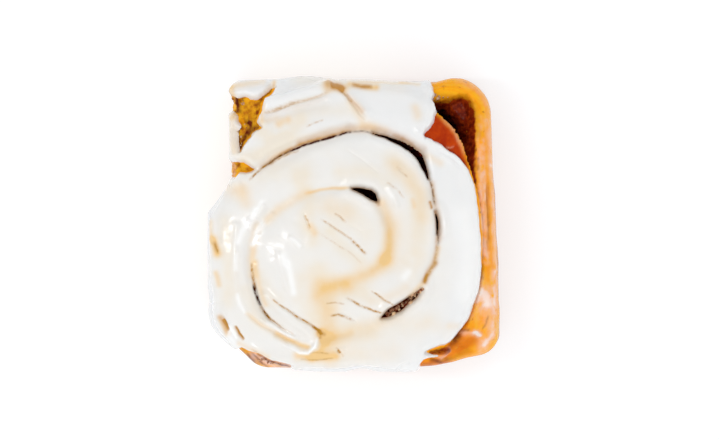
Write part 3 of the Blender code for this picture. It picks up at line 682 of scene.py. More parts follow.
# The room, in metres: lamps with their place, width, length and power, what they point at, and the camera
LAMPS = {"window": ((-0.42, 0.02, 0.8), 0.07, 0.45, 1.08), "room": ((0.1, -0.4, 0.8), 0.8, 0.8, 1.7)}
LAMPS_AIM = (0, 0, 0.04)
FLOOR_SIZE = 6.0
FLOOR_GLOW = 0.56
ROOM_LIGHT = 0.745
CAMERA_HEIGHT = 1.2
CAMERA_SENSOR = 36.0
CAMERA_LENS = 170.8


def smooth_curve(pairs):
    """A function of an angle that runs smoothly through the (angle, value) pairs."""
    knots, values = np.array(pairs, float).T
    slopes = np.gradient(values, knots)

    def curve(angle):
        at = np.clip(angle, knots[0], knots[-1])
        i = np.clip(np.searchsorted(knots, at) - 1, 0, len(knots) - 2)
        span = knots[i + 1] - knots[i]
        u = (at - knots[i]) / span
        pull = span * (slopes[i] * u * (1 - u) ** 2 - slopes[i + 1] * u * u * (1 - u))
        return values[i] + (values[i + 1] - values[i]) * u * u * (3 - 2 * u) + pull

    return curve


def smooth_step(low, high, value):
    """A smooth rise from 0 at low to 1 at high."""
    u = np.clip((value - low) / (high - low), 0.0, 1.0)
    return u * u * (3 - 2 * u)


def bumps(points, size, start=0.0):
    """Smooth noise from about -1 to 1, with bumps as wide as size."""
    return np.array([noise.noise(p) for p in (points / size + start).tolist()])


def uneven(points, *layers):
    """The sum of layers of bumps: height, width, where the noise starts, and its level value."""
    return sum(height * (bumps(points, size, start) - level) for height, size, start, level in layers)


inner_groove = smooth_curve(INNER_GROOVE)
outer_groove = smooth_curve(OUTER_GROOVE)
skirt_depth = smooth_curve(SKIRT)


def outline_points():
    """The outline in plan from the swirl's centre, with an arc at each corner."""
    corners = [(Vector(at), radius) for at, radius in OUTLINE]
    points = []
    for i, (corner, radius) in enumerate(corners):
        before = (corners[i - 1][0] - corner).normalized()
        after = (corners[(i + 1) % len(corners)][0] - corner).normalized()
        half = before.angle(after) / 2
        middle = corner + (before + after).normalized() * radius / math.sin(half)
        start = corner + before * radius / math.tan(half) - middle
        end = corner + after * radius / math.tan(half) - middle
        for k in range(ARC_STEPS + 1):
            points.append(middle + start.slerp(end, k / ARC_STEPS).normalized() * radius)
    sides = zip(points, points[1:] + points[:1])
    return np.array([a.lerp(b, k / SIDE_STEPS) for a, b in sides for k in range(SIDE_STEPS)])


OUTLINE_XY = outline_points()
OUTLINE_ANGLES = np.degrees(np.arctan2(OUTLINE_XY[:, 1], OUTLINE_XY[:, 0])) % TURN
OUTLINE_ORDER = np.argsort(OUTLINE_ANGLES)
OUTLINE_RADII = np.hypot(*OUTLINE_XY.T)


def outline_radius(angle):
    """The radius of the rim at this polar angle."""
    shift = np.interp(angle % TURN, *np.array(RIM_SHIFT, float).T, period=TURN)
    angles, radii = OUTLINE_ANGLES[OUTLINE_ORDER], OUTLINE_RADII[OUTLINE_ORDER]
    return shift + np.interp(angle % TURN, angles, radii, period=TURN)


def directions(angle):
    """Unit steps in plan towards these polar angles."""
    return np.stack([np.cos(np.radians(angle)), np.sin(np.radians(angle))], axis=-1)


def side_angles(cells):
    """Polar angles of the grid's outermost vertices, evenly spaced along each of its four sides."""
    angles = np.linspace(0.0, TURN, RIM_STEPS)
    rim = outline_radius(angles)[:, None] * directions(angles)
    lengths = np.concatenate(([0.0], np.cumsum(np.hypot(*np.diff(rim, axis=0).T))))
    total = lengths[-1]
    corners = [*GRID_CORNERS, GRID_CORNERS[0] + TURN]
    marks = [np.interp(a % TURN, angles, lengths) + total * math.floor(a / TURN) for a in corners]
    loop = []
    for low, high in zip(marks, marks[1:]):
        at = low + (high - low) * np.arange(cells) / cells
        loop.append(np.interp(at % total, lengths, angles) + TURN * np.floor(at / total))
    return np.concatenate(loop)


def surface_grid(cells, wall_rings, under_rings=0):
    """A square grid over the block's top, whose rim carries on down the sides and in under the foot.

    Returns each vertex's polar angle, its share of the way out to the rim, its ring below the rim, the faces,
    and the last ring.
    """
    half = cells // 2
    i, j = np.meshgrid(np.arange(cells + 1), np.arange(cells + 1), indexing="ij")
    a, b = i - half, j - half
    ring = np.maximum(np.abs(a), np.abs(b))
    safe = np.maximum(ring, 1)
    place = np.where(
        a == ring, (b + ring) / (2 * safe),
        np.where(b == ring, 1 + (ring - a) / (2 * safe),
                 np.where(a == -ring, 2 + (ring - b) / (2 * safe), 3 + (a + ring) / (2 * safe))),
    )
    loop = side_angles(cells)
    loop = np.append(loop, loop[0] + TURN)
    angle = np.interp(place * cells, np.arange(len(loop)), loop)
    share = ring / half
    ids = np.arange((cells + 1) ** 2).reshape(cells + 1, cells + 1)
    faces = [np.stack([ids[:-1, :-1], ids[1:, :-1], ids[1:, 1:], ids[:-1, 1:]], axis=-1).reshape(-1, 4)]
    steps = np.arange(cells)
    upper = np.concatenate([
        ids[cells, steps], ids[cells - steps, cells], ids[0, cells - steps], ids[steps, 0],
    ])
    count = len(upper)
    angles, shares, rings = [angle.ravel()], [share.ravel()], [np.zeros(ids.size, int)]
    for k in range(1, wall_rings + under_rings + 1):
        lower = ids.size + (k - 1) * count + np.arange(count)
        faces.append(np.stack([upper, lower, np.roll(lower, -1), np.roll(upper, -1)], axis=-1))
        angles.append(loop[:-1])
        inwards = max(k - wall_rings, 0) / max(under_rings, 1)
        shares.append(np.full(count, 1 - UNDERSIDE_SHARE * inwards))
        rings.append(np.full(count, k))
        upper = lower
    return np.concatenate(angles), np.concatenate(shares), np.concatenate(rings), np.concatenate(faces), upper


def lip_fall(distance):
    """A rounded rim's fall, from 1 at the rim to 0 at the lip's radius from it."""
    u = np.clip(1 - distance / LIP_RADIUS, 0.0, 1.0)
    return (1 - np.sqrt(1 - LIP_ROUNDNESS * u * u)) / LIP_HEIGHT


def groove_distance(curve, turn_angle, radius):
    """The distance outwards from the groove where the strip has this turn angle."""
    line = curve(turn_angle)
    rise = curve(turn_angle + SLOPE_STEP) - curve(turn_angle - SLOPE_STEP)
    lean = rise / (2 * math.radians(SLOPE_STEP)) / np.maximum(line, SLOPE_RADIUS)
    return (radius - line) / np.sqrt(1 + lean * lean)


def outer_angle(angle):
    """Polar angles counted on from the start of the bare outer turn."""
    return (angle - OUTER_START) % TURN + OUTER_START


def outer_turn(angle, radius):
    """How far a place lies on the bare outer turn, and the weight of that turn at this polar angle."""
    wrapped = outer_angle(angle)
    weight = smooth_step(*OUTER_GROWS, wrapped) * (1 - smooth_step(*OUTER_WANES, wrapped))
    return groove_distance(outer_groove, wrapped + TURN, radius), weight


def block_surface(angle, share, wall_height):
    """Points of the bun's smooth form. wall_height is 1 at the rim and 0 at the foot."""
    rim = outline_radius(angle) - RIM_INSET
    radius = rim * share
    x, y = (SWIRL_CENTRE + radius[:, None] * directions(angle)).T
    reach = np.hypot(x - DOME_CENTRE[0], y - DOME_CENTRE[1]) / DOME_REACH
    top = TOP_MIDDLE - (TOP_MIDDLE - TOP_EDGE) * np.minimum(reach, DOME_LIMIT) ** 2
    distance, weight = outer_turn(angle, radius)
    top = top - weight * OUTER_TURN_DROP * smooth_step(0.0, OUTER_DROP_REACH, distance)
    top = top - RIM_DROP * lip_fall(rim - radius)
    bulge = RIM_INSET * smooth_step(BULGE_START, 1.0, wall_height)
    inset = bulge + FOOT_INSET * (1 - smooth_step(0.0, FOOT_TOP, wall_height))
    side = np.where(wall_height < 1, (rim + RIM_INSET - inset) * share, radius)
    return np.column_stack([SWIRL_CENTRE + side[:, None] * directions(angle), top * wall_height]), radius


def face_normals(points, faces):
    """Smooth normals of a mesh of four-sided faces."""
    across = points[faces[:, 2]] - points[faces[:, 0]]
    other = points[faces[:, 3]] - points[faces[:, 1]]
    normal = np.cross(across, other)
    total = np.zeros_like(points)
    for k in range(4):
        np.add.at(total, faces[:, k], normal)
    return total / np.maximum(np.linalg.norm(total, axis=1, keepdims=True), TINY)


def to_plan(pixels):
    """Plan places of photograph pixels."""
    right, down = (np.reshape(pixels, (-1, 2)) - SWIRL_PIXEL).T * PIXEL
    return np.stack([SWIRL_CENTRE[0] + right, SWIRL_CENTRE[1] - down], axis=-1)


def flat_points(plan):
    """Plan places as points at height 0."""
    return np.column_stack([plan, np.zeros(len(plan))])


def line_distance(points, line, closed=False):
    """Each point's distance to a line in plan, and its place along that line, counted in segments."""
    best = np.full(len(points), FAR)
    place = np.zeros(len(points))
    ends = np.roll(line, -1, axis=0) if closed else line[1:]
    for k, (a, b) in enumerate(zip(line, ends)):
        along = b - a
        u = np.clip(((points - a) @ along) / max(along @ along, TINY), 0.0, 1.0)
        distance = np.hypot(*(points - a - u[:, None] * along).T)
        nearer = distance < best
        best[nearer] = distance[nearer]
        place[nearer] = k + u[nearer]
    return best, place


def bare_distance(points, pixels):
    """The distance from a bare patch, negative inside it."""
    line = to_plan(pixels)
    distance, _ = line_distance(points, line, closed=True)
    inside = np.zeros(len(points), bool)
    for a, b in zip(line, np.roll(line, -1, axis=0)):
        crosses = (a[1] > points[:, 1]) != (b[1] > points[:, 1])
        rise = np.where(b[1] == a[1], TINY, b[1] - a[1])
        inside ^= crosses & (points[:, 0] < (b[0] - a[0]) * (points[:, 1] - a[1]) / rise + a[0])
    return np.where(inside, -distance, distance)


def slit_distance(points, pixels, lean=0.0):
    """The distance from an open slit's side, negative inside the slit. With a lean, the slit's deep part."""
    x, y, widths = np.reshape(pixels, (-1, 3)).T
    line = to_plan(np.stack([x, y], axis=-1))
    widths = widths * PIXEL
    inwards = np.array(SWIRL_CENTRE) - line
    inwards /= np.linalg.norm(inwards, axis=1, keepdims=True)
    line = line + inwards * widths[:, None] * lean / 4
    distance, place = line_distance(points, line)
    return distance - np.interp(place, np.arange(len(widths)), widths) * (1 - lean / 2) / 2


def wavered(plan, amount, size):
    """Plan places moved about by smooth noise, so that what is drawn through them wavers."""
    moves = [bumps(flat_points(plan), size, start) for start in WAVER_STARTS]
    return plan + amount * np.stack(moves, axis=-1)


def strokes(points, table):
    """The sum of soft strokes over these plan places. A thin one of several segments tapers at its ends."""
    total = np.zeros(len(points))
    for strength, width, *pixels in table:
        line = to_plan(pixels)
        reach = STROKE_REACH * width * PIXEL
        near = np.all((points > line.min(axis=0) - reach) & (points < line.max(axis=0) + reach), axis=1)
        distance, place = line_distance(points[near], line)
        spine = place / (len(line) - 1)
        taper = 1 - (2 * spine - 1) ** TAPER if len(line) > 2 and width < THIN_STROKE else 1.0
        total[near] += strength * taper * np.exp(-(distance / (width * PIXEL)) ** 2)
    return total


def valley(angle, radius):
    """How deep the inner groove's valley in the icing is here."""
    knots, depths, inwards, outwards = np.array(VALLEY, float).T
    total = np.zeros(len(angle))
    base = angle % TURN
    for turn_angle in (base - TURN, base, base + TURN):
        inside = (turn_angle >= knots[0]) & (turn_angle <= knots[-1])
        distance = groove_distance(inner_groove, turn_angle, radius)
        depth = np.interp(turn_angle, knots, depths)
        width = np.interp(turn_angle, knots, inwards)
        width = np.where(distance > 0, np.interp(turn_angle, knots, outwards), width)
        total += inside * depth * np.exp(-(distance / width) ** 2)
    return total


def icing_field(plan, rim_plan, angle, below_rim):
    """How far inside the icing's edge a place lies, negative outside it, and the same for its slits alone."""
    edge = np.min([bare_distance(rim_plan, pixels) for pixels in BARE], axis=0)
    depth = skirt_depth(angle % TURN) * smooth_step(*SKIRT_FADE, edge)
    edge = np.minimum(edge, np.where(below_rim > 0, depth - below_rim, edge))
    slits = np.min([slit_distance(plan, pixels) for _, _, _, *pixels in SLITS], axis=0)
    return edge, slits + SLIT_CLEARANCE * (below_rim > 0)


def slit_relief(plan):
    """The dough's height in the open slits, and how far syrup covers it, nearly black with painted shade
    where it is strongest.
    """
    relief = np.zeros(len(plan))
    syrup = np.zeros(len(plan))
    for depth, lean, darkness, *pixels in SLITS:
        relief -= depth * smooth_step(*SLIT_WALL, slit_distance(plan, pixels, lean))
        syrup = np.maximum(syrup, darkness * smooth_step(*SLIT_SYRUP_AND_SHADE, slit_distance(plan, pixels)))
    return relief, syrup


def dough_relief(angle, radius, plan):
    """The height of the dough's top over the smooth form, and how far syrup covers it, with painted shade in
    the deepest slits and the pocket.
    """
    relief, syrup = slit_relief(plan)
    relief -= valley(angle, radius)
    distance, weight = outer_turn(angle, radius)
    groove = smooth_step(OUTER_GROOVE_HALF, 0.0, np.abs(distance)) * weight
    groove = groove * smooth_step(*GROOVE_END, outer_angle(angle))
    relief -= OUTER_GROOVE_DEPTH * groove
    pocket = bare_distance(plan, POCKET) + uneven(flat_points(plan), POCKET_RAGS)
    deepest = np.minimum(strokes(plan, POCKET_DEPTH), 1.0) * smooth_step(*DEEPEST_WALL, pocket)
    relief -= POCKET_DROP * smooth_step(*POCKET_WALL, pocket) + DEEPEST_DROP * deepest
    spread = SYRUP_SPREAD[0] + SYRUP_SPREAD[1] * smooth_step(*SYRUP_BACK, plan[:, 1])
    covered = POCKET_SYRUP * smooth_step(*SYRUP_FADE, pocket / spread) + POCKET_SYRUP * deepest
    return relief, np.maximum(np.maximum(syrup, covered), OUTER_GROOVE_SYRUP * groove)


def clip(faces, field):
    """Cuts four-sided faces along the line where field is zero.

    Returns the whole faces, the cut ones, and for each new vertex the two it lies between and its share of
    the way.
    """
    inside = field > 0
    count = inside[faces].sum(axis=1)
    whole = faces[count == 4]
    made, ends, shares, cut = {}, [], [], []
    for face in faces[(count > 0) & (count < 4)].tolist():
        polygon = []
        for a, b in zip(face, face[1:] + face[:1]):
            if inside[a]:
                polygon.append(a)
            if inside[a] != inside[b]:
                key = (min(a, b), max(a, b))
                if key not in made:
                    made[key] = len(field) + len(ends)
                    ends.append(key)
                    shares.append(field[key[0]] / (field[key[0]] - field[key[1]]))
                polygon.append(made[key])
        cut.append(polygon)
    return whole, cut, np.array(ends), np.array(shares)


def new_piece(name, points, faces, attributes, material, slot, *nodes):
    """A mesh object in the frame, with these vertex attributes, standing for the CAD nodes."""
    used = np.zeros(len(points), bool)
    for face in faces:
        used[face] = True
    number = np.cumsum(used) - 1
    mesh = bpy.data.meshes.new(name)
    mesh.from_pydata((points[used] * MM).tolist(), [], [[int(number[v]) for v in face] for face in faces])
    for key, values in attributes.items():
        data = mesh.attributes.new(key, "FLOAT", "POINT").data
        data.foreach_set("value", values[used].astype(np.float32))
    mesh.materials.append(material)
    mesh.shade_smooth()
    mesh.validate()
    piece = bpy.data.objects.new(name, mesh)
    bpy.context.scene.collection.objects.link(piece)
    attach(piece, "root")
    if nodes:
        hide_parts(*nodes)
    return piece


def in_box(points):
    """Keeps points inside the CAD model's box."""
    return np.clip(points, np.array(CAD_LOW) / MM, np.array(CAD_HIGH) / MM)


def make_icing(material):
    """The icing: a thick coat with rounded edges, open slits and runs down the sides."""
    angle, share, ring, faces, _ = surface_grid(ICING_CELLS, ICING_WALL_RINGS)
    below = ring * ICING_WALL / ICING_WALL_RINGS
    rim_point, _ = block_surface(angle, np.ones(len(angle)), np.ones(len(angle)))
    height = np.where(ring > 0, 1 - below / rim_point[:, 2], 1.0)
    smooth, radius = block_surface(angle, share, height)
    normal = face_normals(smooth, faces)
    wall = ring > 0
    side = np.minimum(SKIRT_THICKNESS, SKIRT_LEAST + SKIRT_SWELL * skirt_depth(angle % TURN))
    thinning = (ICING_THICKNESS - side) * lip_fall((1 - share) * outline_radius(angle))
    coat = np.where(wall, side, ICING_THICKNESS - thinning)
    under = -valley(angle, radius) * ~wall
    seen = (smooth + normal * (under + coat)[:, None])[:, :2]
    plan = wavered(seen, *EDGE_WAVER)
    leaning = rim_point[:, :2] + RIM_LEAN * side[:, None] * directions(angle)
    edge, slits = icing_field(plan, np.where(wall[:, None], leaning, plan), angle, below)
    ragged = RAGS_IN_FRONT + (1 - RAGS_IN_FRONT) * smooth_step(*RAGS_GROW, plan[:, 1])
    field = np.minimum(edge + ragged * uneven(smooth, *ICING_RAGS), slits)
    field = np.where(np.abs(field) < LEAST_FIELD, np.copysign(LEAST_FIELD, field), field)
    down = smooth_step(*SIDE_START, below)
    swell, swell_place, swell_width = EDGE_SWELL
    coat = coat * (1 + swell * (1 + down) * np.exp(-((field - swell_place) / swell_width) ** 2))
    drawn = wavered(seen, *ICING_WAVER)
    shown = smooth_step(*LINES_FADE, below)
    waves = uneven(smooth, *ICING_SWELL) * (1 - SIDE_CALM * down)
    top = under + coat + waves + strokes(drawn, RELIEF) * shown
    # Of these tables, white holds painted highlights, dark holds syrup with painted shade, and brown is
    # partly painted shade
    tables = {"tan": TAN, "stain": STAIN, "brown": BROWN_AND_SHADE, "dark": DARK, "painted_highlight": ICING_HIGHLIGHTS}
    painted = {key: strokes(drawn, table) * smooth_step(*STAINS_FADE, below) for key, table in tables.items()}
    middle = smooth_step(*MIDDLE_FADE, np.hypot(*(seen - SWIRL_CENTRE).T)) * ~wall
    painted["cream"] = MIDDLE_CREAM * middle + strokes(drawn, CREAM) * shown
    whole, cut, ends, shares = clip(faces, field)

    def with_cuts(values, at_cut=None):
        a, b = values[ends[:, 0]], values[ends[:, 1]]
        between = a + (b - a) * (shares if values.ndim == 1 else shares[:, None])
        if at_cut is not None:
            between = np.full(len(ends), at_cut)
        return np.concatenate([values, between])

    smooth, normal = with_cuts(smooth), with_cuts(normal)
    field, under, top = with_cuts(field, 0.0), with_cuts(under), with_cuts(top)
    bead = np.sin(np.pi / 2 * np.clip(field / ICING_BEAD, 0, 1))
    rise = under + (top - under) * bead - ICING_TUCK * (1 - bead)
    points = in_box(smooth + normal * rise[:, None])
    attributes = {key: with_cuts(values) for key, values in painted.items()}
    attributes["edge"] = smooth_step(SLIT_TINT, 0.0, with_cuts(slits))
    return new_piece("icing_poured", points, [*whole.tolist(), *cut], attributes, material, "icing", "icing")


def spiral_distance(angle, radius):
    """The distance from the nearest joint between the turns, in plan."""
    nearest = np.full(len(angle), FAR)
    for turn in range(-1, 3):
        turn_angle = angle % TURN + turn * TURN
        for curve, knots in ((inner_groove, INNER_GROOVE), (outer_groove, OUTER_GROOVE)):
            inside = (turn_angle >= knots[0][0]) & (turn_angle <= knots[-1][0])
            distance = np.abs(groove_distance(curve, turn_angle, radius))
            nearest = np.where(inside, np.minimum(nearest, distance), nearest)
    return nearest


def side_relief(smooth, angle, height):
    """The relief of the sides, all of it inwards, and how torn they are: those that were pulled apart."""
    turned = (angle - TORN_COUNT) % TURN + TORN_COUNT + uneven(smooth, TORN_EDGE)
    (start, end), (soft_start, soft_end) = TORN_SIDES, TORN_SOFTNESS
    torn = smooth_step(start - soft_start, start + soft_start, turned)
    torn = torn * smooth_step(end + soft_end, end - soft_end, turned)
    stretched = smooth * SIDE_STRETCH
    crust = uneven(smooth, CRUST_WAVES) + uneven(stretched, CRUST_WRINKLES)
    crumb = uneven(stretched, CRUMB_LUMPS, CRUMB_CRAGS) - CRUMB_SINK
    relief = crust + (crumb - crust) * torn
    return relief * smooth_step(*FOOT_FADE, height) * smooth_step(*TOP_FADE, height), torn


def make_dough(material):
    """The dough: the whole baked bun, with its grooves, its pocket and its torn corners."""
    angle, share, ring, faces, last = surface_grid(DOUGH_CELLS, DOUGH_WALL_RINGS, UNDERSIDE_RINGS)
    top = ring == 0
    under = ring > DOUGH_WALL_RINGS
    height = 1 - np.minimum(ring, DOUGH_WALL_RINGS) / DOUGH_WALL_RINGS
    smooth, radius = block_surface(angle, share, height)
    normal = face_normals(smooth, faces)
    plan = wavered(smooth[:, :2], *EDGE_WAVER)
    relief, syrup = dough_relief(angle, radius, plan)
    relief, syrup = relief * top, syrup * top
    distance, outer = outer_turn(angle, radius)
    torn = smooth_step(*TORN_FADE, np.min([bare_distance(plan, pixels) for pixels in TORN_PATCHES], axis=0))
    torn = torn * smooth_step(*TORN_RINGS, ring)
    relief += torn * (TORN_HEIGHT * uneven(smooth, *TORN_LUMPS) - TORN_SINK)
    sides, side = side_relief(smooth, angle, height)
    relief += np.where(top, uneven(smooth, TOP_WAVES), sides * (1 - torn))
    rim = outline_radius(angle) - RIM_INSET
    inset = np.where(top, rim - radius, (height - 1) * LANES_DOWN_SIDE)
    lanes = uneven(flat_points(np.column_stack([inset, angle * LANE_PACE])), RIM_LANES)
    relief += lanes * outer * (1 - torn) * smooth_step(*LANES_START, distance) * top
    drawn = wavered(plan, *CRUST_WAVER)
    shown = smooth_step(*CRUST_LINES, height)
    relief += strokes(drawn, CRUST_RELIEF) * shown
    edge, slits = icing_field(plan, plan, angle, np.where(top, 0.0, 1.0))
    relief -= UNDER_ICING * smooth_step(*UNDER_ICING_START, np.minimum(edge, slits)) * top
    spiral = smooth_step(*SPIRAL_FADE, spiral_distance(angle, radius) + uneven(smooth, SPIRAL_RAGS)) * under
    below = np.maximum(spiral, UNDERSIDE_LEVEL + uneven(smooth, UNDERSIDE_WAVES))
    below = below * smooth_step(0.0, UNDERSIDE_START, (1 - share) * rim)
    relief = np.where(under, -UNDERSIDE_RELIEF * np.clip(below, 0.0, 1.0), relief)
    points = smooth + normal * relief[:, None]
    points[:, 2] = np.maximum(points[:, 2], 0.0)
    attributes = {
        # The syrup mask also carries painted shade, nearly black, deep in the slits and the pocket; the glaze
        # mask also carries painted highlights
        "syrup": syrup, "torn": torn, "inset": inset, "along": angle, "glaze_and_highlight": strokes(drawn, GLAZE_AND_HIGHLIGHTS) * shown,
        "burnt": strokes(drawn, BURNT) * shown, "orange": strokes(drawn, ORANGE) * shown,
        "shoulder": smooth_step(*SHOULDER_FADE, bare_distance(plan, SHOULDER)) * top,
        "side": side * ~top * ~under, "browned": smooth_step(*BROWNED, height),
        "foot": smooth_step(*FOOT_SHADE, height), "spiral": spiral,
    }
    polygons = [*faces.tolist(), last.tolist()[::-1]]
    return new_piece("dough_baked", in_box(points), polygons, attributes, material, "crust", "dough")


def on_dough(plan):
    """Points of the dough's top over these plan places."""
    offset = plan - SWIRL_CENTRE
    angle = np.degrees(np.arctan2(offset[:, 1], offset[:, 0])) % TURN
    share = np.minimum(np.hypot(*offset.T) / (outline_radius(angle) - RIM_INSET), 1.0)
    points, radius = block_surface(angle, share, np.ones(len(plan)))
    relief, _ = dough_relief(angle, radius, plan)
    points[:, 2] += relief
    return points


def make_crumbs(material):
    """Crumbs of cinnamon and dough that lie in the slits and on the torn places."""
    draw = random.Random(CRUMB_SEED)
    ball = bmesh.new()
    bmesh.ops.create_icosphere(ball, subdivisions=2, radius=1.0)
    shape = np.array([v.co[:] for v in ball.verts])
    sides = np.array([[v.index for v in face.verts] for face in ball.faces])
    ball.free()
    points, faces, shades = [], [], []
    for count, size, width, *pixels in CRUMBS:
        line = to_plan(pixels)
        spread = width * PIXEL / 2
        for _ in range(count):
            k, along = divmod(draw.uniform(0, len(line) - 1.001), 1)
            middle = line[int(k)] * (1 - along) + line[int(k) + 1] * along
            at = middle + (draw.gauss(0, spread), draw.gauss(0, spread))
            wide = size * draw.uniform(*CRUMB_WIDTHS)
            turn = np.array(Euler([draw.uniform(0, 2 * math.pi) for _ in range(3)]).to_matrix())
            deep = wide * draw.uniform(*CRUMB_DEPTHS)
            lump = shape * (wide, deep, wide * draw.uniform(*CRUMB_HEIGHTS)) @ turn
            bulges = bumps(shape, CRUMB_LUMP_SIZE, CRUMB_NOISE_STEP * len(points))
            lump = lump * (1 + CRUMB_LUMP * bulges)[:, None]
            faces.append(sides + len(shape) * len(points))
            points.append(lump + (on_dough(at[None, :])[0] + (0.0, 0.0, CRUMB_RISE * wide)))
            shades.append(np.full(len(shape), draw.random() ** CRUMB_SHADES))
    attributes = {"shade": np.concatenate(shades)}
    new_piece("crumbs", np.concatenate(points), np.concatenate(faces).tolist(), attributes, material, "crust")


def shader_of(name):
    """A new material, its node tree and its shader."""
    made = bpy.data.materials.new(name)
    made.use_nodes = True
    tree = made.node_tree
    return made, tree, tree.nodes["Principled BSDF"]


def set_inputs(node, values):
    """Gives a node's inputs these values."""
    for name, value in values.items():
        node.inputs[name].default_value = value


def attribute(tree, name):
    """The values of a vertex attribute."""
    node = tree.nodes.new("ShaderNodeAttribute")
    node.attribute_name = name
    return node.outputs["Fac"]


def noise_of(tree, scale, detail, vector=None):
    """Noise from 0 to 1, with this many bumps in a metre."""
    node = tree.nodes.new("ShaderNodeTexNoise")
    set_inputs(node, {"Scale": scale, "Detail": detail})
    if vector is None:
        vector = tree.nodes.new("ShaderNodeTexCoord").outputs["Object"]
    tree.links.new(vector, node.inputs["Vector"])
    return node.outputs["Fac"]


def sum_of(tree, operation, a, b, clamp=False):
    """A sum node's result on two values, each a number or an output."""
    node = tree.nodes.new("ShaderNodeMath")
    node.operation = operation
    node.use_clamp = clamp
    for value, socket in ((a, node.inputs[0]), (b, node.inputs[1])):
        if isinstance(value, (int, float)):
            socket.default_value = value
        else:
            tree.links.new(value, socket)
    return node.outputs[0]


def plus(tree, a, b):
    return sum_of(tree, "ADD", a, b)


def times(tree, a, b):
    return sum_of(tree, "MULTIPLY", a, b)


def broken(tree, name, pattern):
    """A vertex attribute broken up by a pattern, at most 1."""
    return sum_of(tree, "MULTIPLY", attribute(tree, name), pattern, True)


def mix(tree, factor, a, b):
    """A blend from colour a to colour b."""
    node = tree.nodes.new("ShaderNodeMix")
    node.data_type = "RGBA"
    tree.links.new(factor, node.inputs["Factor"])
    for value, socket in ((a, node.inputs[6]), (b, node.inputs[7])):
        if isinstance(value, tuple):
            socket.default_value = (*value, 1.0)
        else:
            tree.links.new(value, socket)
    return node.outputs[2]


def layered(tree, colour, *layers):
    """A colour under layers, each an amount and a colour."""
    for amount, over in layers:
        colour = mix(tree, amount, colour, over)
    return colour


def bump(tree, shader, scale, detail, strength, distance):
    """Gives the shader fine relief from noise."""
    node = tree.nodes.new("ShaderNodeBump")
    set_inputs(node, {"Strength": strength, "Distance": distance})
    tree.links.new(noise_of(tree, scale, detail), node.inputs["Height"])
    tree.links.new(node.outputs["Normal"], shader.inputs["Normal"])


def ramp(tree, value, low, high):
    """0 at low and 1 at high."""
    node = tree.nodes.new("ShaderNodeMapRange")
    set_inputs(node, {"From Min": low, "From Max": high})
    tree.links.new(value, node.inputs["Value"])
    return node.outputs["Result"]


def blots(tree, scale, detail, low, high):
    """Noise as blots: 0 where it is under low and 1 where it is over high."""
    return ramp(tree, noise_of(tree, scale, detail), low, high)


def icing_material():
    """White icing, cream over the middle, tan where it is thin, with brown syrup and painted shade in its
    creases, and painted highlights.
    """
    made, tree, shader = shader_of("maple_icing")
    mottle = plus(tree, noise_of(tree, *ICING_MOTTLE), 0.5)
    dashes = plus(tree, blots(tree, *DASH_BLOTS), 0.25)
    stain = broken(tree, "stain", dashes)
    # Syrup and painted shade in the deepest creases
    dark = broken(tree, "dark", plus(tree, dashes, 0.3))
    # Painted highlights, where the coat is also glossier
    painted_highlight = attribute(tree, "painted_highlight")
    colour = layered(
        tree, ICING_WHITE,
        (broken(tree, "cream", mottle), ICING_CREAM),
        (broken(tree, "tan", mottle), MAPLE_TAN),
        # Brown, partly painted shade under the fold and along the outer gap
        (broken(tree, "brown", plus(tree, noise_of(tree, *BROWN_MOTTLE), 0.5)), MAPLE_BROWN_AND_SHADE),
        (stain, STAIN_BROWN),
        (attribute(tree, "edge"), SLIT_EDGE),
        (dark, CREASE_SYRUP_AND_SHADE),
        (painted_highlight, HIGHLIGHT_WHITE),
    )
    tree.links.new(colour, shader.inputs["Base Color"])
    matt = times(tree, plus(tree, dark, stain), 0.45)
    tree.links.new(sum_of(tree, "SUBTRACT", 0.5, matt, True), shader.inputs["Specular IOR Level"])
    tree.links.new(painted_highlight, shader.inputs["Coat Weight"])
    set_inputs(shader, ICING_SHINE)
    shader.subsurface_method = "BURLEY"
    bump(tree, shader, *ICING_FINE)
    return made


def crust_colour(tree):
    """The browned crust's colour, in lanes that run along the turns."""
    lanes = tree.nodes.new("ShaderNodeCombineXYZ")
    tree.links.new(times(tree, attribute(tree, "inset"), 0.9), lanes.inputs["X"])
    tree.links.new(times(tree, attribute(tree, "along"), 0.07), lanes.inputs["Y"])
    streak = times(tree, noise_of(tree, 1.0, 4.0, lanes.outputs[0]), 1.3)
    bake = plus(tree, streak, times(tree, noise_of(tree, *CRUST_PATCH), 0.9))
    return layered(
        tree, CRUST_GOLD,
        (ramp(tree, bake, 0.8, 1.5), CRUST_AMBER),
        (times(tree, blots(tree, *GRAIN_BLOTS), 0.4), CRUST_GRAIN),
        (blots(tree, *PORE_BLOTS), CRUST_PORE),
    )


def streaks(tree, across, upwards, low, high):
    """Blots drawn out to streaks that run up and down the sides."""
    place = tree.nodes.new("ShaderNodeCombineXYZ")
    split = tree.nodes.new("ShaderNodeSeparateXYZ")
    tree.links.new(tree.nodes.new("ShaderNodeTexCoord").outputs["Object"], split.inputs[0])
    tree.links.new(times(tree, attribute(tree, "along"), across), place.inputs["X"])
    tree.links.new(times(tree, split.outputs["Z"], upwards), place.inputs["Y"])
    return ramp(tree, noise_of(tree, 1.0, 4.0, place.outputs[0]), low, high)


def skin_colour(tree):
    """The sides' browned skin: golden to brown, with darker wrinkles."""
    return layered(
        tree, SKIN_GOLD,
        (blots(tree, *SKIN_BLOTS), SKIN_BROWN),
        (times(tree, blots(tree, *SKIN_SPECKS), 0.4), SKIN_MOTTLE),
        (times(tree, streaks(tree, *WRINKLE_STREAKS), 0.35), SKIN_WRINKLE),
    )


def crumb_colour(tree, fine):
    """The torn sides' pale crumb, in strands."""
    return layered(
        tree, CRUMB_PALE,
        (ramp(tree, fine, 0.35, 0.72), CRUMB_GOLD),
        (times(tree, streaks(tree, *STRAND_STREAKS), 0.6), CRUMB_STRAND),
    )


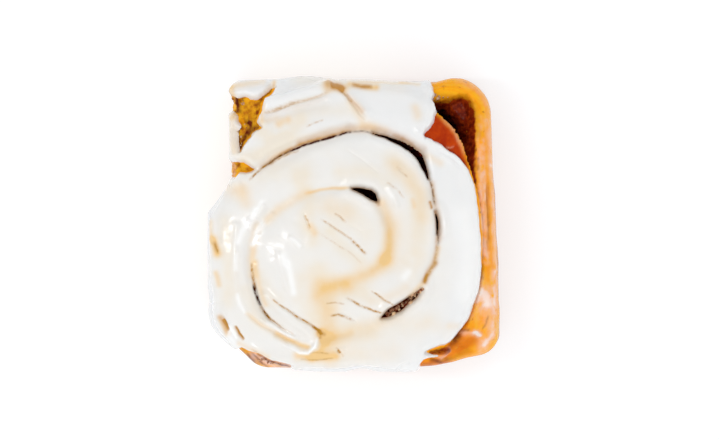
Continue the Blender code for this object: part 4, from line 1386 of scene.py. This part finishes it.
def torn_colour(tree, fine):
    """The torn corners' golden crumb, with dark holes."""
    return layered(
        tree, CRUST_GOLD,
        (ramp(tree, fine, 0.45, 0.68), TORN_BROWN),
        (blots(tree, *TORN_BLOTS), TORN_DARK),
    )


def dough_material():
    """Baked dough: golden-brown crust, torn crumb, glaze with painted highlights, and dark syrup in the
    grooves, painted nearly black as shade where they are deepest.
    """
    made, tree, shader = shader_of("baked_dough")
    fine = noise_of(tree, *CRUMB_GRAIN)
    side = attribute(tree, "side")
    torn = attribute(tree, "torn")
    # Glaze with painted highlights and sheen: pink, turning white where strongest
    glaze_and_highlight = broken(tree, "glaze_and_highlight", blots(tree, *GLAZE_AND_HIGHLIGHT_BLOTS))
    shoulder = mix(tree, blots(tree, *SHOULDER_BLOTS), SHOULDER_RED, SHOULDER_DARK)
    glaze_and_highlight_colour = mix(tree, ramp(tree, attribute(tree, "glaze_and_highlight"), 1.0, 1.7), PINK_GLAZE_AND_SHEEN, WHITE_GLAZE_AND_HIGHLIGHT)
    uneven_syrup = plus(tree, times(tree, noise_of(tree, *SYRUP_MOTTLE), 1.6), 0.2)
    syrup = times(tree, attribute(tree, "syrup"), uneven_syrup)
    speck = blots(tree, *SYRUP_SPECKS)
    colour = layered(
        tree, crust_colour(tree),
        (broken(tree, "orange", blots(tree, *ORANGE_BLOTS)), CRUST_ORANGE),
        (attribute(tree, "browned"), skin_colour(tree)),
        (times(tree, side, blots(tree, *SIDE_BLOTS)), crumb_colour(tree, fine)),
        (torn, torn_colour(tree, fine)),
        (attribute(tree, "shoulder"), shoulder),
        (glaze_and_highlight, glaze_and_highlight_colour),
        (broken(tree, "foot", plus(tree, fine, 0.3)), FOOT_BROWN),
        (attribute(tree, "spiral"), SPIRAL_DARK),
        (broken(tree, "burnt", plus(tree, fine, 0.5)), CRUST_BURNT),
        # Syrup: thin, then nearly black painted shade where the mask is strongest, deep in the slits and the
        # pocket
        (ramp(tree, syrup, 0.08, 0.35), mix(tree, speck, *THIN_SYRUP)),
        (ramp(tree, syrup, 0.5, 0.85), mix(tree, speck, *DEEP_SYRUP_AND_SHADE)),
    )
    tree.links.new(colour, shader.inputs["Base Color"])
    rough = plus(tree, plus(tree, times(tree, torn, 0.3), 0.25), times(tree, side, 0.4))
    tree.links.new(rough, shader.inputs["Roughness"])
    tree.links.new(plus(tree, times(tree, glaze_and_highlight, 0.4), 0.1), shader.inputs["Specular IOR Level"])
    bump(tree, shader, *DOUGH_FINE)
    return made


def crumb_material():
    """Crumbs from golden to dark brown."""
    made, tree, shader = shader_of("loose_crumbs")
    tone = broken(tree, "shade", plus(tree, noise_of(tree, *LOOSE_MOTTLE), 0.5))
    tree.links.new(mix(tree, tone, LOOSE_PALE, LOOSE_DARK), shader.inputs["Base Color"])
    set_inputs(shader, {"Roughness": 0.35})
    bump(tree, shader, *LOOSE_FINE)
    return made


def filling_material(name):
    """Dark cinnamon syrup with grains of spice and sugar."""
    made, tree, shader = shader_of(name)
    layers = ((blots(tree, *FILLING_FLOW), FILLING_BROWN), (blots(tree, *FILLING_SPECKS), FILLING_GRAIN))
    tree.links.new(layered(tree, FILLING_BLACK, *layers), shader.inputs["Base Color"])
    set_inputs(shader, {"Roughness": 0.22})
    bump(tree, shader, *FILLING_FINE)
    return made


def add_lamp(name, place, width, length, power):
    """A soft rectangular light that shines on the bun."""
    light = bpy.data.lights.new(name, "AREA")
    light.shape = "RECTANGLE"
    light.size = width
    light.size_y = length
    light.energy = power
    lamp = bpy.data.objects.new(name, light)
    lamp.location = place
    lamp.rotation_euler = (Vector(LAMPS_AIM) - lamp.location).to_track_quat("-Z", "Y").to_euler()
    bpy.context.scene.collection.objects.link(lamp)
    return lamp


def stage():
    """The white floor, the lights and the camera."""
    bpy.ops.mesh.primitive_plane_add(size=FLOOR_SIZE)
    floor = bpy.context.object
    floor.name = "floor"
    made, _, shader = shader_of("floor_paper")
    set_inputs(shader, {
        "Base Color": (*FLOOR_GREY, 1.0), "Roughness": 0.9,
        "Emission Color": (*PURE_WHITE, 1.0), "Emission Strength": FLOOR_GLOW,
    })
    floor.data.materials.append(made)
    scene = bpy.context.scene
    scene.view_settings.view_transform = "Standard"
    scene.world = bpy.data.worlds.new("soft_room")
    scene.world.use_nodes = True
    background = scene.world.node_tree.nodes["Background"]
    set_inputs(background, {"Color": (*PURE_WHITE, 1.0), "Strength": ROOM_LIGHT})
    for name, values in LAMPS.items():
        lamp = add_lamp(name, *values)
        lamp.visible_glossy = name == "window"
    camera = bpy.data.objects.new("camera", bpy.data.cameras.new("camera"))
    camera.data.sensor_width = CAMERA_SENSOR
    camera.data.lens = CAMERA_LENS
    camera.location = (*(to_plan(MIDDLE_PIXEL)[0] * MM), CAMERA_HEIGHT)
    camera.rotation_euler = (0.0, 0.0, 0.0)
    scene.collection.objects.link(camera)
    scene.camera = camera


make_icing(icing_material())
make_dough(dough_material())
make_crumbs(crumb_material())
for node in ("filling_inner", "filling_outer"):
    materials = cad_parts[node].data.materials
    materials.clear()
    materials.append(filling_material("cinnamon_" + node))
stage()
